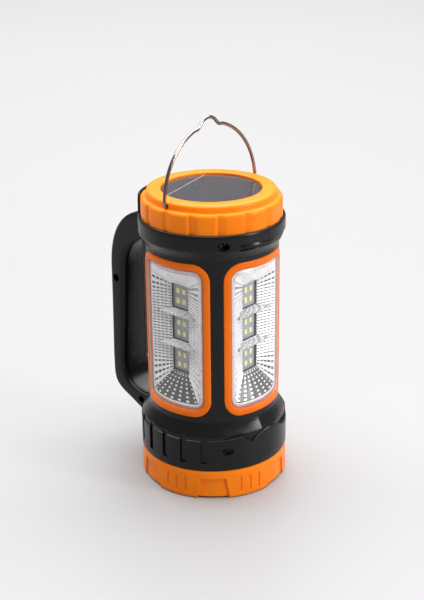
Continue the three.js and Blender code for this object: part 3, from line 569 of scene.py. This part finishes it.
def housing_rings(azimuth):
    """Rings up the outside of the barrel, each a pair of radius and height per column."""
    edge = ramp(azimuth, HEAD_EDGE)
    flute = flutes(azimuth)
    wall = HEAD_R - flute * FLUTE_DEPTH
    rings = [(HEAD_R - 0.4, HEAD_LOW), (HEAD_R - 0.1, HEAD_LOW + 0.15), (HEAD_R, HEAD_LOW + 0.5),
             (HEAD_R, FLUTE_LOW - 0.15), (HEAD_R - flute * 0.15, FLUTE_LOW),
             (wall, FLUTE_LOW + 0.12), (wall, FLUTE_LOW + 3)]
    for t in (0.2, 0.45, 0.7, 0.9, 1.0):
        rings.append((wall, FLUTE_LOW + 3 + (edge - 3.45 - FLUTE_LOW) * t))
    rings.append((wall - 0.12 * (1 - flute), edge - 0.18))
    rings.append((wall - 0.4 * (1 - flute), edge))
    share = ramp(azimuth, FLARE_RIGHT_SHARE)
    scoop = facet_depth(azimuth)
    for t in np.linspace(0, 1, 30):
        z = edge + 0.12 + (FLARE_TOP - edge - 0.12) * t
        left = np.interp(z, *zip(*FLARE))
        right = np.interp(z, *zip(*FLARE_RIGHT))
        hollow = scoop * np.sin(np.pi * np.clip((FLARE_TOP - z) / 17, 0, 1))
        step = 0.5 * (1 - min(t * 5, 1))
        plain = left + (right - left) * share - hollow - step
        rings.append((np.where(flute > 0.5, np.minimum(plain, wall), plain), z))
    rings += [(TUBE_R, FLARE_TOP + 0.35), (TUBE_R, 54.0), (TUBE_R, 100.0), (TUBE_R, 158.0),
              (TUBE_R, 159.6), (TUBE_R + 0.15, 160.3), (TUBE_R + 0.6, 161.2)]
    neck_edge = ramp(azimuth, NECK_EDGE)
    cut = ramp(azimuth, NECK_CUT)
    under = ramp(azimuth, NECK_UNDER)
    for t in np.linspace(0, 1, 20):
        z = 162.0 + (neck_edge - 0.12 - 162.0) * t
        plain = np.interp(z, [162.0, 165.9, 166.5, 180], [43.2, 45.8, NECK_R, NECK_R])
        below = neck_edge - z
        crease = 1.0 - 0.75 * np.clip(1 - np.abs(below - 1.2) / 0.9, 0, 1)
        notch = cut * crease * (z > 165.9)
        steep = np.minimum(plain, NECK_R - 0.35 - 0.33 * below)
        rings.append((plain - notch + (steep - plain) * under, z))
    rings += [(NECK_R, neck_edge + 0.15), (NECK_R, 171.0), (NECK_R, 174.6), (NECK_R - 0.08, 175.3),
              (NECK_R - 0.3, 175.85), (NECK_R - 0.65, 176.15), (NECK_R - 1.1, NECK_TOP),
              (44.6, NECK_TOP), (44.5, 176.1), (43.4, 176.0), (43.3, 167.4), (39.7, 162.0),
              (39.7, 50.0), (44.9, 40.2), (44.9, HEAD_LOW)]
    return [polar(r, azimuth, z) for r, z in rings]


def handle_sides():
    """The handle's outer and inner outlines as equally many (distance from axis, height)."""
    outer = [np.array((36.0, 171.5))]
    inner = [np.array((36.0, 154.0))]
    spans = [
        (8, [(36, 171.5), (50.5, 169.4)], [(36, 154), (47, 152)]),
        (26, [(50.5, 169.4), (66, 167), (79.2, 155), (79.5, 126.8)],
         [(47, 152), (58, 149), (65, 140), (66, 129)]),
        (26, [(79.5, 126.8), (79.5, 101.5), (80.5, 64)], [(66, 129), (70, 59)]),
        (26, [(80.5, 64), (80.5, 52), (80.6, 46.5), (80.2, 42.4), (77.4, 39.9), (71.1, 36.2)],
         [(70, 59), (70.2, 44.5), (60, 41.5), (51, 40.3)]),
        (12, [(71.1, 36.2), (42, 20.6)], [(51, 40.3), (36, 40)]),
    ]
    for steps, outside, inside in spans:
        outer += bezier(outside, steps)
        inner += bezier(inside, steps)
    return outer, inner


def handle():
    """A lofted D: flat sides, small outer and large inner rounding."""
    half, outer_round, inner_round = 13.0, 2.6, 4.6
    rings = []
    for out, into in zip(*handle_sides()):
        way = (into - out) / np.linalg.norm(into - out)
        deep = np.linalg.norm(into - out)
        section = []
        for a in np.linspace(0, 90, 7):
            s, c = math.sin(math.radians(a)), math.cos(math.radians(a))
            section.append((outer_round * (1 - c), half - outer_round * (1 - s)))
        for a in np.linspace(0, 90, 9):
            s, c = math.sin(math.radians(a)), math.cos(math.radians(a))
            section.append((deep - inner_round * (1 - s), half - inner_round * (1 - c)))
        loop = section + [(d, -x) for d, x in reversed(section)]
        rings.append([(x, *(out + way * d)) for d, x in loop])
    return skin(rings, caps=True)


def window_loop(radius, inset, steps=10, edge_steps=24):
    """The front window's outline pulled in by inset, on a cylinder."""
    half = WINDOW_HALF - inset
    low, high = WINDOW_LOW + inset, WINDOW_HIGH - inset
    corner = max(WINDOW_CORNER - inset, 1.2)
    loop = []
    centres = [(half - corner, low + corner, -90), (half - corner, high - corner, 0),
               (corner - half, high - corner, 90), (corner - half, low + corner, 180)]
    for k, (x, z, start) in enumerate(centres):
        for i in range(steps + 1):
            a = math.radians(start + 90 * i / steps)
            loop.append((x + corner * math.cos(a), z + corner * math.sin(a)))
        nx, nz, turn = centres[(k + 1) % 4]
        a = math.radians(turn)
        target = (nx + corner * math.cos(a), nz + corner * math.sin(a))
        last = loop[-1]
        for i in range(1, edge_steps):
            t = i / edge_steps
            loop.append((last[0] + (target[0] - last[0]) * t,
                         last[1] + (target[1] - last[1]) * t))
    loop = np.array(loop)
    return polar(radius, np.degrees(loop[:, 0] / FRAME_R), loop[:, 1])


def spun(shape, degrees):
    """A shape turned about the barrel's axis."""
    turn = Matrix.Rotation(math.radians(degrees), 3, "Z")
    vertices, faces = shape
    return np.asarray(vertices) @ np.array(turn).T, faces


def rod_x(radius, x, y, z, sides=40):
    """A rod along X between two places."""
    rings = [[(at, y + radius * math.cos(a), z + radius * math.sin(a))
              for a in np.linspace(0, 2 * math.pi, sides, endpoint=False)] for at in x]
    return skin(rings, caps=True)


def cap_guard():
    """The wall behind the cap, with rounded upper corners."""
    azimuth = np.linspace(143, 217, 75)
    drop = 4.0 * np.clip((np.abs(azimuth - 180) - 33.0) / 4.0, 0, 1) ** 2
    top = CAP_STEP - 0.6 - drop
    rings = []
    for r, z in ((44.75, top - 0.2), (45.0, top), (45.85, top), (46.1, top - 0.3),
                 (46.1, NECK_TOP - 1.2), (44.75, NECK_TOP - 1.2)):
        rings.append(polar(r, azimuth, z * np.ones_like(azimuth)))
    columns = np.array(rings).transpose(1, 0, 2)
    return skin(columns, caps=True)


def build_housing():
    shell = make("housing_shell_left", skin(housing_rings(housing_columns()), closed=True), BLACK)
    grip = make("grip_tool", handle(), BLACK)
    backbone = rounded_box((-12.4, 34, 69.6), (12.4, 52, 158), 4.6, 8)
    combine(grip, backbone, "UNION")
    for radius, height in ((40.6, 200), (45.2, 41)):  # room for the barrel and the head
        combine(grip, solid_disc([(0, 0), (radius, 0), (radius, height), (0, height)]))
    combine(shell, grip, "UNION")
    combine(shell, cap_guard(), "UNION")
    for degrees in WINDOWS.values():
        wedge = skin([window_loop(30, -0.3), window_loop(60, -0.3)], caps=True)
        combine(shell, spun(wedge, degrees))
    for y, z, seat in SCREWS.values():
        combine(shell, rod_x(BORE_R, (BORE_START, seat), y, z))
    ring = [(0, 74.0), (5.9, 74.0), (5.9, 79.0), (6.4, 79.9), (6.4, 90.0), (0, 90.0)]
    combine(shell, rounded_box((-7.6, 77.4, 118.5), (7.6, 88, 137.4), 0.8))
    combine(shell, rounded_box((-4.8, 69.1, 123), (4.8, 84, 131), 0.6))
    combine(shell, along_y(solid_disc(ring, 80), BUTTON_Z))
    other = shell.copy()
    other.data = shell.data.copy()
    other.name = "housing_shell_right"
    bpy.context.scene.collection.objects.link(other)
    for obj, low, high in ((shell, -100, -SEAM / 2), (other, SEAM / 2, 100)):
        combine(obj, rounded_box((low, -120, -20), (high, 120, 260), 0.01, 1), "INTERSECT")
        shade(obj, 30)
    piece(shell, ["housing_left"])
    piece(other, ["housing_right"])


def along_y(shape, height):
    """A shape made about Z laid so that its axis runs along Y at a height."""
    vertices, faces = shape
    x, y, z = np.asarray(vertices).T
    return np.stack([x, z, height - y], 1), faces


def build_screws():
    """Pan heads with a cross recess at the bottom of their bores."""
    for name, (y, z, seat) in SCREWS.items():
        head = [(0, 0), (1.3, 0), (1.75, 0.15), (2.05, 0.5), (2.2, 1.1), (2.2, 1.8), (1.3, 1.8),
                (1.3, 20), (0.6, 22), (0, 22)]
        start = seat - SCREW_HEAD_T
        screw = make(name + "_detail", laid_x(solid_disc(head, 48), start, y, z), ZINC_PAINTED_SHADE)
        for wide, tall in ((0.55, 2.6), (2.6, 0.55)):
            slot = rounded_box((-wide / 2, -tall / 2, -1), (wide / 2, tall / 2, 0.9), 0.1, 2)
            combine(screw, laid_x(slot, start, y, z))
        shade(screw, 30)
        piece(screw, [name])


def laid_x(shape, start, y, z):
    """A shape made about Z laid along X from start."""
    vertices, faces = shape
    a, b, c = np.asarray(vertices).T
    return np.stack([start + c, y + a, z + b], 1), faces


# ---- side lights ---------------------------------------------------------------------

BASIN_INSET = FRAME_WIDTH + 3.0
BACK_Y = 30.4
BACK_HALF = 6.8
BACK_LOW, BACK_HIGH = 78.2, 137.8
CELL_MID = 108.0
CELL_PITCH = 21.4
CELL_H = 16.4
RIM_R = 39.9
LENS_IN, LENS_OUT = 40.3, 42.1
FOLD_HIGH, FOLD_LOW = 144.0, 67.0  # where the side slopes meet the end slopes
SLOPE_ROWS = 31
FAN_LOW = np.array([-11.2, -7.8, -4.6, -2.1, -0.6])  # lowest row edges' drop at the rim
FAN_HIGH = np.array([0.3, 1.4, 3.7, 6.2])  # highest row edges' rise at the rim
BOTTOM_HALF = 25.5  # degrees of rim that the dark bottom slope takes either side
DIVIDER_HALF, DIVIDER_FOOT, DIVIDER_RISE = 15.5, 2.4, 4.4
LED_X, LED_Z = 2.4, 3.4
LED_HALF_W, LED_HALF_H = 1.4, 1.75


def window_frame():
    """A softly domed band round the window."""
    profile = [(0.0, -2.6), (0.0, -0.5), (0.1, -0.18), (0.42, 0.02), (1.4, 0.1), (2.3, 0.12),
               (3.2, 0.1), (4.1, -0.02), (4.42, -0.22), (FRAME_WIDTH, -0.6), (FRAME_WIDTH, -2.6)]
    return skin([window_loop(FRAME_R + up, inset) for inset, up in profile], closed=True)


def lens_shape():
    """The edge ring closed by a grid across each face, so that both faces stay curved."""
    inset = FRAME_WIDTH + 0.2
    edge = [(0.0, 40.45), (0.0, 41.5), (0.12, 41.88), (0.45, 42.06), (1.0, LENS_OUT)]
    loops = [window_loop(r, inset + extra) for extra, r in edge]
    outside = [window_loop(LENS_OUT, inset + extra) for extra in (2.9, 5.5)]
    inside = [window_loop(LENS_IN, inset + extra) for extra in (5.5, 2.9, 1.0, 0.15)]
    ring = inside + loops + outside
    vertices, faces = skin(ring)
    count = len(ring[0])
    # Slots 1 and 2 give the border and cut edge the pinkish painted reflection of the orange frame.
    slots = [slot for slot in (0, 1, 1, 2, 2, 2, 1, 1, 1, 0) for _ in range(count)]
    middle = (WINDOW_LOW + WINDOW_HIGH) / 2
    extra_vertices, extra_faces = [], []
    for k, radius, flip in ((0, LENS_IN, True), (len(ring) - 1, LENS_OUT, False)):
        base = k * count
        loop = ring[k]
        angle = np.degrees(np.arctan2(loop[:, 0], -loop[:, 1]))
        for share in (0.66, 0.33):
            height = middle + (loop[:, 2] - middle) * (0.4 + 0.6 * share)
            inner = polar(radius, angle * share, height)
            start = len(vertices) + len(extra_vertices)
            extra_vertices += inner.tolist()
            for i in range(count):
                j = (i + 1) % count
                quad = [base + i, base + j, start + j, start + i]
                extra_faces.append(quad[::-1] if flip else quad)
            base = start
        hub = len(vertices) + len(extra_vertices)
        extra_vertices.append([0, -radius, middle])
        for i in range(count):
            tri = [base + i, base + (i + 1) % count, hub]
            extra_faces.append(tri[::-1] if flip else tri)
    slots += [0] * len(extra_faces)
    return np.concatenate([vertices, np.array(extra_vertices)]), faces + extra_faces, slots


def pillow_patch(back, front, columns, rows, rise, mark, levels=(0.0, 0.44, 0.65, 0.86),
                 across=(0.0, 0.14, 0.86)):
    """A slope of small pillows from back to front. back and front hold one point per row
    edge; mark gives each face a material number, which paints shade on the dark faces."""
    vertices, faces, slots = [], [], []
    row_lines = [(j, v) for j in range(rows) for v in levels] + [(rows, 0.0)]
    col_lines = [(i, u) for i in range(columns) for u in across] + [(columns, 0.0)]
    along = (interpolate(front, 1) + interpolate(back, 1)
             - interpolate(front, 0) - interpolate(back, 0))
    out = interpolate(front, 0.5) - interpolate(back, 0.5)
    normal = np.cross(along, out)
    normal /= np.linalg.norm(normal) * (-1 if normal[1] > 0 else 1)
    for j, v in row_lines:
        t = (j + v) / rows
        a = interpolate(back, t)
        b = interpolate(front, t)
        for i, u in col_lines:
            s = (i + u) / columns
            point = a + (b - a) * s
            swell = math.sin(math.pi * v) * (1.0 if 0 < u else 0.35) * rise
            vertices.append(point + normal * swell)
    wide = len(col_lines)
    for j in range(len(row_lines) - 1):
        for i in range(wide - 1):
            low = j * wide + i
            faces.append([low, low + 1, low + wide + 1, low + wide])
            row, level = divmod(j, len(levels))
            column, part = divmod(i, len(across))
            slots.append(mark(level, part, row, column))
    return np.array(vertices), faces, slots


def interpolate(points, t):
    places = np.linspace(0, 1, len(points))
    return np.array([np.interp(t, places, points[:, i]) for i in range(3)])


def reflector():
    """The faceted basin of a side light: returns vertices, faces and material numbers."""
    parts = []
    loop = window_loop(RIM_R, BASIN_INSET, 12, 40)
    half_angle = math.degrees((WINDOW_HALF - BASIN_INSET) / FRAME_R)

    def edge_at(azimuth, z):
        return polar(RIM_R, azimuth, z)

    def outline(low, high, widest):
        """The basin's front outline between two heights, from left to right."""
        azimuth = np.degrees(loop[:, 0] / FRAME_R)
        keep = (loop[:, 2] >= low) & (loop[:, 2] <= high) & (np.abs(azimuth) <= widest)
        return loop[keep][np.argsort(loop[keep][:, 0])]

    # Painted shade: the lower middle face of each pillow takes the dark material.
    def painted_shade_dash(level, across, *_):
        return 1 if level == 0 and across == 1 else 0

    # Painted shade: the grey material on all but one bright face of each pillow.
    def painted_shade_around_dots(level, across, *_):
        return 0 if level == 1 and across == 1 else 2

    # Painted shade: two faces in three take the speckled grey material.
    def painted_shade_speckle(level, across, row, column):
        return 3 if (level + across + row + column) % 3 else 0

    # side slopes
    at = np.linspace(0, 1, SLOPE_ROWS + 1)
    back_z = BACK_LOW + (BACK_HIGH - BACK_LOW) * at
    front_z = back_z.copy()
    front_z[:len(FAN_LOW)] += FAN_LOW
    front_z[-len(FAN_HIGH):] += FAN_HIGH
    for side in (-1, 1):
        back = np.stack(np.broadcast_arrays(side * BACK_HALF, -BACK_Y, back_z), 1)
        front = edge_at(side * half_angle, front_z)
        parts.append(pillow_patch(back, front, 5, SLOPE_ROWS, 0.5, painted_shade_dash))
    # top slope, from fold to fold
    ends = edge_at(np.array([-half_angle, half_angle]), FOLD_HIGH)
    front = np.vstack([ends[:1], outline(FOLD_HIGH, WINDOW_HIGH, 90), ends[1:]])
    back = np.array([(-BACK_HALF, -BACK_Y, BACK_HIGH), (BACK_HALF, -BACK_Y, BACK_HIGH)])
    parts.append(pillow_patch(back, front, 5, 8, 0.05, lambda *_: 0))
    # bottom slope painted dark as shade, with bright pillows
    front = outline(0, FOLD_LOW, BOTTOM_HALF)
    back = np.array([(-BACK_HALF, -BACK_Y, BACK_LOW), (BACK_HALF, -BACK_Y, BACK_LOW)])
    parts.append(pillow_patch(back, front, 7, 7, 0.25, painted_shade_around_dots, (0.0, 0.25, 0.6, 0.8),
                              (0.0, 0.3, 0.72)))
    # corners beside it, fanning out from the back's corners
    for side in (-1, 1):
        corner = outline(0, FOLD_LOW, 90)
        corner = corner[corner[:, 0] * side > 0]
        azimuth = np.abs(np.degrees(corner[:, 0] / FRAME_R))
        corner = corner[azimuth >= BOTTOM_HALF - 0.6]
        corner = corner[np.argsort(corner[:, 2])]
        corner = np.vstack([corner, edge_at(side * half_angle, FOLD_LOW)[None]])
        hub = np.array([(side * BACK_HALF, -BACK_Y, BACK_LOW)] * 2)
        parts.append(pillow_patch(hub, corner, 5, 4, 0.3, painted_shade_dash))
    # cell divider ridges, speckled with painted shade
    for k in (-0.5, 0.5):
        z = CELL_MID + k * CELL_PITCH
        for up in (1, -1):
            base = np.array([(x * (BACK_HALF + 0.2), -BACK_Y, z + up * DIVIDER_FOOT)
                             for x in (-1, 1)])
            crest = np.array([(x * DIVIDER_HALF, -BACK_Y - DIVIDER_RISE, z) for x in (-1, 1)])
            parts.append(pillow_patch(base, crest, 4, 14, 0.12, painted_shade_speckle))
    # rim round the basin
    rim = [window_loop(r, inset, 12, 40) for inset, r in
           ((BASIN_INSET, RIM_R), (BASIN_INSET - 0.25, RIM_R + 0.25),
            (BASIN_INSET - 0.7, RIM_R + 0.32), (BASIN_INSET - 1.3, RIM_R + 0.1),
            (FRAME_WIDTH + 0.4, RIM_R))]
    vertices, faces = skin(rim)
    parts.append((vertices, faces, [0] * len(faces)))
    # back plate with its three cell openings
    bars = [BACK_LOW] + [CELL_MID + k * CELL_PITCH + s * CELL_H / 2
                         for k in (-1, 0, 1) for s in (-1, 1)] + [BACK_HIGH]
    for low, high in zip(bars[0::2], bars[1::2]):
        quad = np.array([(-BACK_HALF, -BACK_Y, low), (BACK_HALF, -BACK_Y, low),
                         (BACK_HALF, -BACK_Y, high), (-BACK_HALF, -BACK_Y, high)])
        parts.append((quad, [[0, 1, 2, 3]], [0]))
    # Cell walls take the dark material, painted shade inside the openings.
    for z in cell_heights():
        front, deep = [], []
        for sx, sz in ((-1, -1), (1, -1), (1, 1), (-1, 1)):
            front.append((sx * BACK_HALF, -BACK_Y, z + sz * CELL_H / 2))
            deep.append((sx * BACK_HALF, -BACK_Y + 1.1, z + sz * CELL_H / 2))
        wall, wall_faces = skin([front, deep])
        parts.append((wall, wall_faces, [1] * len(wall_faces)))
    vertices, faces = merge([(v, f) for v, f, _ in parts])
    return vertices, faces, [slot for _, _, some in parts for slot in some]


def cell_heights():
    return [CELL_MID + (i - 1) * CELL_PITCH for i in range(3)]


def led_board():
    """A grey board with four LED packages in each of its three cells."""
    parts = [rounded_box((-9, -29.1, 72), (9, -27.9, 144), 0.4, 2)]
    slots = [0] * len(parts[0][1])
    for z in cell_heights():
        for i in (-1, 1):
            for k in (-1, 1):
                x, up = i * LED_X, z + k * LED_Z
                case = rounded_box((x - LED_HALF_W, -29.5, up - LED_HALF_H),
                                   (x + LED_HALF_W, -29.0, up + LED_HALF_H), 0.12, 2)
                glow = rounded_box((x - 1.15, -29.58, up - 1.5), (x + 1.15, -29.4, up + 1.5),
                                   0.3, 4)
                for shape, slot in ((case, 1), (glow, 2)):
                    parts.append(shape)
                    slots += [slot] * len(shape[1])
    vertices, faces = merge(parts)
    return vertices, faces, slots


def build_windows():
    kinds = (
        ("window_surround", "window_frame", "orange_plastic", ORANGE_PAINTED_SHADE, 32, window_frame()),
        ("window_pane", "window_lens", "clear_lens", [LENS, LENS_BAND_PAINTED_REFLECTION, LENS_EDGE_PAINTED_REFLECTION], 40,
         lens_shape()),
        ("light_basin", "side_reflector", "reflector",
         [MIRROR, MIRROR_PAINTED_SHADE_DARK, MIRROR_PAINTED_SHADE_GREY, MIRROR_PAINTED_SHADE_SPECK], 20, reflector()),
        ("led_plate", "side_led_board", "led_board", [BOARD, LED_CASE, PHOSPHOR], 30,
         led_board()),
    )
    for side, degrees in WINDOWS.items():
        for name, node, slot, materials, sharp, (vertices, faces, *slots) in kinds:
            shape = spun((vertices, faces), degrees)
            obj = make(f"{name}_{side}", shape, materials, sharp, slots[0] if slots else None)
            if name == "light_basin":
                wall = obj.modifiers.new("wall", "SOLIDIFY")
                wall.thickness = 0.5 * MM
                wall.offset = -1
                bake_modifiers(obj)
            piece(obj, [f"{node}_{side}"])


# ---- cap, solar cell and bail --------------------------------------------------------

PIVOT_Z = 190.3
BAIL_R = 42.0
BAIL_WIRE = 1.1
BAIL_RISE = 46.1
BAIL_HUMP = 13.0
BAIL_LEAN = 2.5


def cap():
    """The screw cap: one-sided shallow grooves, a step and a raised round ring."""
    azimuth = np.arange(720) / 2.0
    place = (azimuth / (360 / CAP_GROOVES)) % 1.0
    fall = np.interp(place, [0, 0.05, 0.1, 0.34, 0.97, 1.0], [0.35, 1.0, 0.85, 0.0, 0.0, 0.35])
    profile = [  # radius, height, share of the groove's depth
        (CAP_R - 0.3, CAP_LOW, 1), (CAP_R, CAP_LOW + 0.3, 1), (CAP_R, 180, 1), (CAP_R, 184, 1),
        (CAP_R, 186.4, 1), (CAP_R - 0.1, 187.1, 0.9), (CAP_R - 0.4, 187.8, 0.75),
        (CAP_R - 0.9, 188.35, 0.5), (CAP_R - 1.6, 188.7, 0.2), (CAP_R - 2.3, CAP_STEP, 0),
        (RING_R + 0.5, CAP_STEP, 0), (RING_R + 0.12, CAP_STEP + 0.15, 0),
        (RING_R, CAP_STEP + 0.5, 0), (RING_R, 191.3, 0), (RING_R - 0.2, 192.1, 0),
        (RING_R - 0.7, 192.75, 0), (RING_R - 1.5, 193.1, 0), (RING_R - 2.6, CAP_TOP, 0),
        (32.6, CAP_TOP, 0), (31.8, CAP_TOP - 0.12, 0), (31.4, CAP_TOP - 0.5, 0),
        (31.3, CAP_TOP - 1.0, 0), (31.3, 190.3, 0), (7, 190.3, 0), (7, 187.2, 0),
        (40.0, 186.4, 0), (40.0, CAP_LOW, 0),
    ]
    rings = [polar(r - 1.1 * share * fall, azimuth, z) for r, z, share in profile]
    return skin(rings, closed=True)


def bail_points():
    """The wire's middle line: feet, round legs and the hook hump, leant to the handle."""
    points = [(37.6, 0), (40.7, 0), (41.9, 0.9)]
    hump = math.acos(BAIL_HUMP / BAIL_R)
    for a in np.linspace(0.04 + (hump - 0.04) / 10, hump, 10):
        points.append((BAIL_R * math.cos(a), BAIL_R * math.sin(a)))
    points += [(BAIL_HUMP - 3.4, BAIL_RISE - 5.6), (4.6, BAIL_RISE - 1.2), (0, BAIL_RISE)]
    points += [(-x, z) for x, z in reversed(points[:-1])]
    smooth = smooth_line(points, 12)
    lean = math.radians(BAIL_LEAN)
    return [(x, z * math.sin(lean), PIVOT_Z + z * math.cos(lean)) for x, z in smooth]


def smooth_line(points, steps):
    """A centripetal Catmull-Rom line through points."""
    p = [np.asarray(q, float) for q in points]
    p = [2 * p[0] - p[1]] + p + [2 * p[-1] - p[-2]]
    line = []
    for a, b, c, d in zip(p, p[1:], p[2:], p[3:]):
        k = [0.0]
        for u, v in ((a, b), (b, c), (c, d)):
            k.append(k[-1] + np.linalg.norm(v - u) ** 0.5)
        for t in np.linspace(k[1], k[2], steps, endpoint=False):
            ab = (k[1] - t) / k[1] * a + t / k[1] * b
            bc = (k[2] - t) / (k[2] - k[1]) * b + (t - k[1]) / (k[2] - k[1]) * c
            cd = (k[3] - t) / (k[3] - k[2]) * c + (t - k[2]) / (k[3] - k[2]) * d
            abc = (k[2] - t) / k[2] * ab + t / k[2] * bc
            bcd = (k[3] - t) / (k[3] - k[1]) * bc + (t - k[1]) / (k[3] - k[1]) * cd
            line.append((k[2] - t) / (k[2] - k[1]) * abc + (t - k[1]) / (k[2] - k[1]) * bcd)
    line.append(p[-2])
    return line


def build_cap():
    ring = make("cap_shell", cap(), ORANGE)
    for side in (-1, 1):
        low, high = sorted((side * 36.6, side * 41.6))
        combine(ring, rod_x(1.5, (low, high), 0, PIVOT_Z, 32))
    shade(ring, 32)
    piece(ring, ["cap_ring"])
    low, high = SOLAR_LOW.z, SOLAR_HIGH.z
    panel = solid_disc([(0, low), (SOLAR_R - 0.1, low), (SOLAR_R, low + 0.1), (SOLAR_R, high - 0.3),
                        (SOLAR_R - 0.3, high), (0, high)], 240)
    piece(make("solar_disc", panel, SOLAR), ["solar_panel"])
    start, end = Vector((-27.2, 11.6)), Vector((20.0, 23.2))
    way = (end - start).normalized()
    side = Vector((-way.y, way.x)) * 0.22
    bar = [[(*(p + side), high + 0.02), (*(p - side), high + 0.02), (*(p - side), high + 0.1),
            (*(p + side), high + 0.1)] for p in (start, end)]
    piece(make("solar_bus_bar", skin(bar, caps=True), BUS_BAR), [])
    wire = make("bail_hoop", swept(bail_points(), BAIL_WIRE), STEEL_WIRE)
    piece(wire, ["bail"], "bail_wire")


# ---- switch and charging port --------------------------------------------------------


def build_controls():
    button = [(0, 75.6), (2.55, 75.6), (2.55, 76.9), (4.25, 76.9), (4.25, 75.7), (6.7, 75.9),
              (6.7, 77.2), (5.5, 77.2), (5.5, 79.3), (5.35, 79.8), (4.9, 80.15), (4.1, 80.2),
              (3.9, 80.0), (3.5, 79.95), (3.3, 80.15), (2.0, 80.2), (0, 80.2)]
    piece(make("button_cap", along_y(solid_disc(button, 96), BUTTON_Z), RUBBER), ["switch_button"],
          "push_button")
    low, high = node_box("port_flap")
    hinge_z = high.z - FLAP_HALF_T
    plate = rounded_box((-FLAP_HALF, low.z, -FLAP_HALF_T), (FLAP_HALF, hinge_z, FLAP_HALF_T),
                        1.6, 6)
    lip = rounded_box((-3.2, low.z + 1.0, 0.5), (3.2, low.z + 2.4, 1.25), 0.5, 3)
    plug = rounded_box((-2.6, 124.8, -2.1), (2.6, 128.8, -0.5), 0.6, 3)

    def stood(shape):
        vertices, faces = shape
        x, z, y = np.asarray(vertices).T
        return np.stack([x, FLAP_Y + y, z], 1), faces

    knuckle = rod_x(FLAP_HALF_T, (-FLAP_HALF, FLAP_HALF), FLAP_Y, FLAP_HINGE_Z, 24)
    flap = make("port_cover", stood(plate), RUBBER)
    for shape in (stood(lip), stood(plug), knuckle):
        combine(flap, shape, "UNION")
    shade(flap, 32)
    piece(flap, ["port_flap"], "flap")


# ---- pieces kept as the CAD made them ------------------------------------------------

KEPT = {
    "spot_led_board": ALUMINIUM, "spot_led": PHOSPHOR, "heat_sink": ALUMINIUM,
    "switch_body": GREY, "switch_spring": STEEL_WIRE, "charge_port": PORT_METAL,
    "battery_holder": GREY, "battery_cell_left": WRAP, "battery_cell_right": WRAP,
    "control_board": CIRCUIT,
}


def dress_kept():
    for node, material in KEPT.items():
        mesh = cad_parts[node].data
        mesh.materials.clear()
        mesh.materials.append(material)


# ---- camera, floor and light ---------------------------------------------------------

CAMERA_AZIMUTH = -48.53
CAMERA_DISTANCE = 751.3  # from the barrel's axis
CAMERA_HEIGHT = 420.7
CAMERA_HEADING = math.radians(131.5)
CAMERA_PITCH = math.radians(21.951)
CAMERA_ROLL = math.radians(-0.645)
CAMERA_LENS = 76.24


def build_camera():
    data = bpy.data.cameras.new("camera")
    data.lens = CAMERA_LENS
    data.sensor_width = 36.0
    camera = bpy.data.objects.new("camera", data)
    bpy.context.scene.collection.objects.link(camera)
    hx, hy = math.sin(CAMERA_HEADING), -math.cos(CAMERA_HEADING)
    level = math.cos(CAMERA_PITCH)
    forward = Vector((hx * level, hy * level, -math.sin(CAMERA_PITCH)))
    right = Vector((hy, -hx, 0)).normalized()
    up = right.cross(forward)
    turn = Matrix((right, up, -forward)).transposed().to_4x4()
    at = Vector(polar(CAMERA_DISTANCE, CAMERA_AZIMUTH, CAMERA_HEIGHT))
    place = at * MM + Vector((0, AXIS_Y, 0))
    camera.matrix_world = Matrix.Translation(place) @ turn @ Matrix.Rotation(CAMERA_ROLL, 4, "Z")
    bpy.context.scene.camera = camera


def area_light(name, at, target, size, power):
    data = bpy.data.lights.new(name, "AREA")
    data.shape = "RECTANGLE"
    data.size, data.size_y = size
    data.energy = power
    lamp = bpy.data.objects.new(name, data)
    bpy.context.scene.collection.objects.link(lamp)
    lamp.location = at
    lamp.rotation_euler = (Vector(target) - Vector(at)).to_track_quat("-Z", "Y").to_euler()


def build_stage():
    floor = Shader("studio_floor", Roughness=0.55)
    floor.feed("Base Color", floor.blend(floor.noise(3, 3), rgb(151, 150, 151), rgb(149, 148, 149)))
    floor.bump(floor.noise(400, 3), 0.02, 0.0002)
    mesh = bpy.data.meshes.new("floor")
    size = 8.0
    corners = [(-size, -size, 0), (size, -size, 0), (size, size, 0), (-size, size, 0)]
    mesh.from_pydata(corners, [], [(0, 1, 2, 3)])
    mesh.materials.append(floor.material)
    obj = bpy.data.objects.new("floor", mesh)
    bpy.context.scene.collection.objects.link(obj)
    world = bpy.data.worlds.new("studio")
    bpy.context.scene.world = world
    world.use_nodes = True
    background = world.node_tree.nodes["Background"]
    background.inputs["Color"].default_value = (1.0, 0.99, 1.0, 1)
    background.inputs["Strength"].default_value = 0.3
    area_light("overhead", (1.0, 0.9, 3.0), (1.0, 0.9, 0.0), (5.0, 5.0), 430)
    area_light("key", (0.3, -1.1, 0.52), (0.0, 0.0, 0.08), (0.25, 0.4), 8.0)


bpy.context.scene.view_settings.view_transform = "Standard"
build_camera()
build_head()
build_housing()
build_screws()
build_windows()
build_cap()
build_controls()
dress_kept()
build_stage()
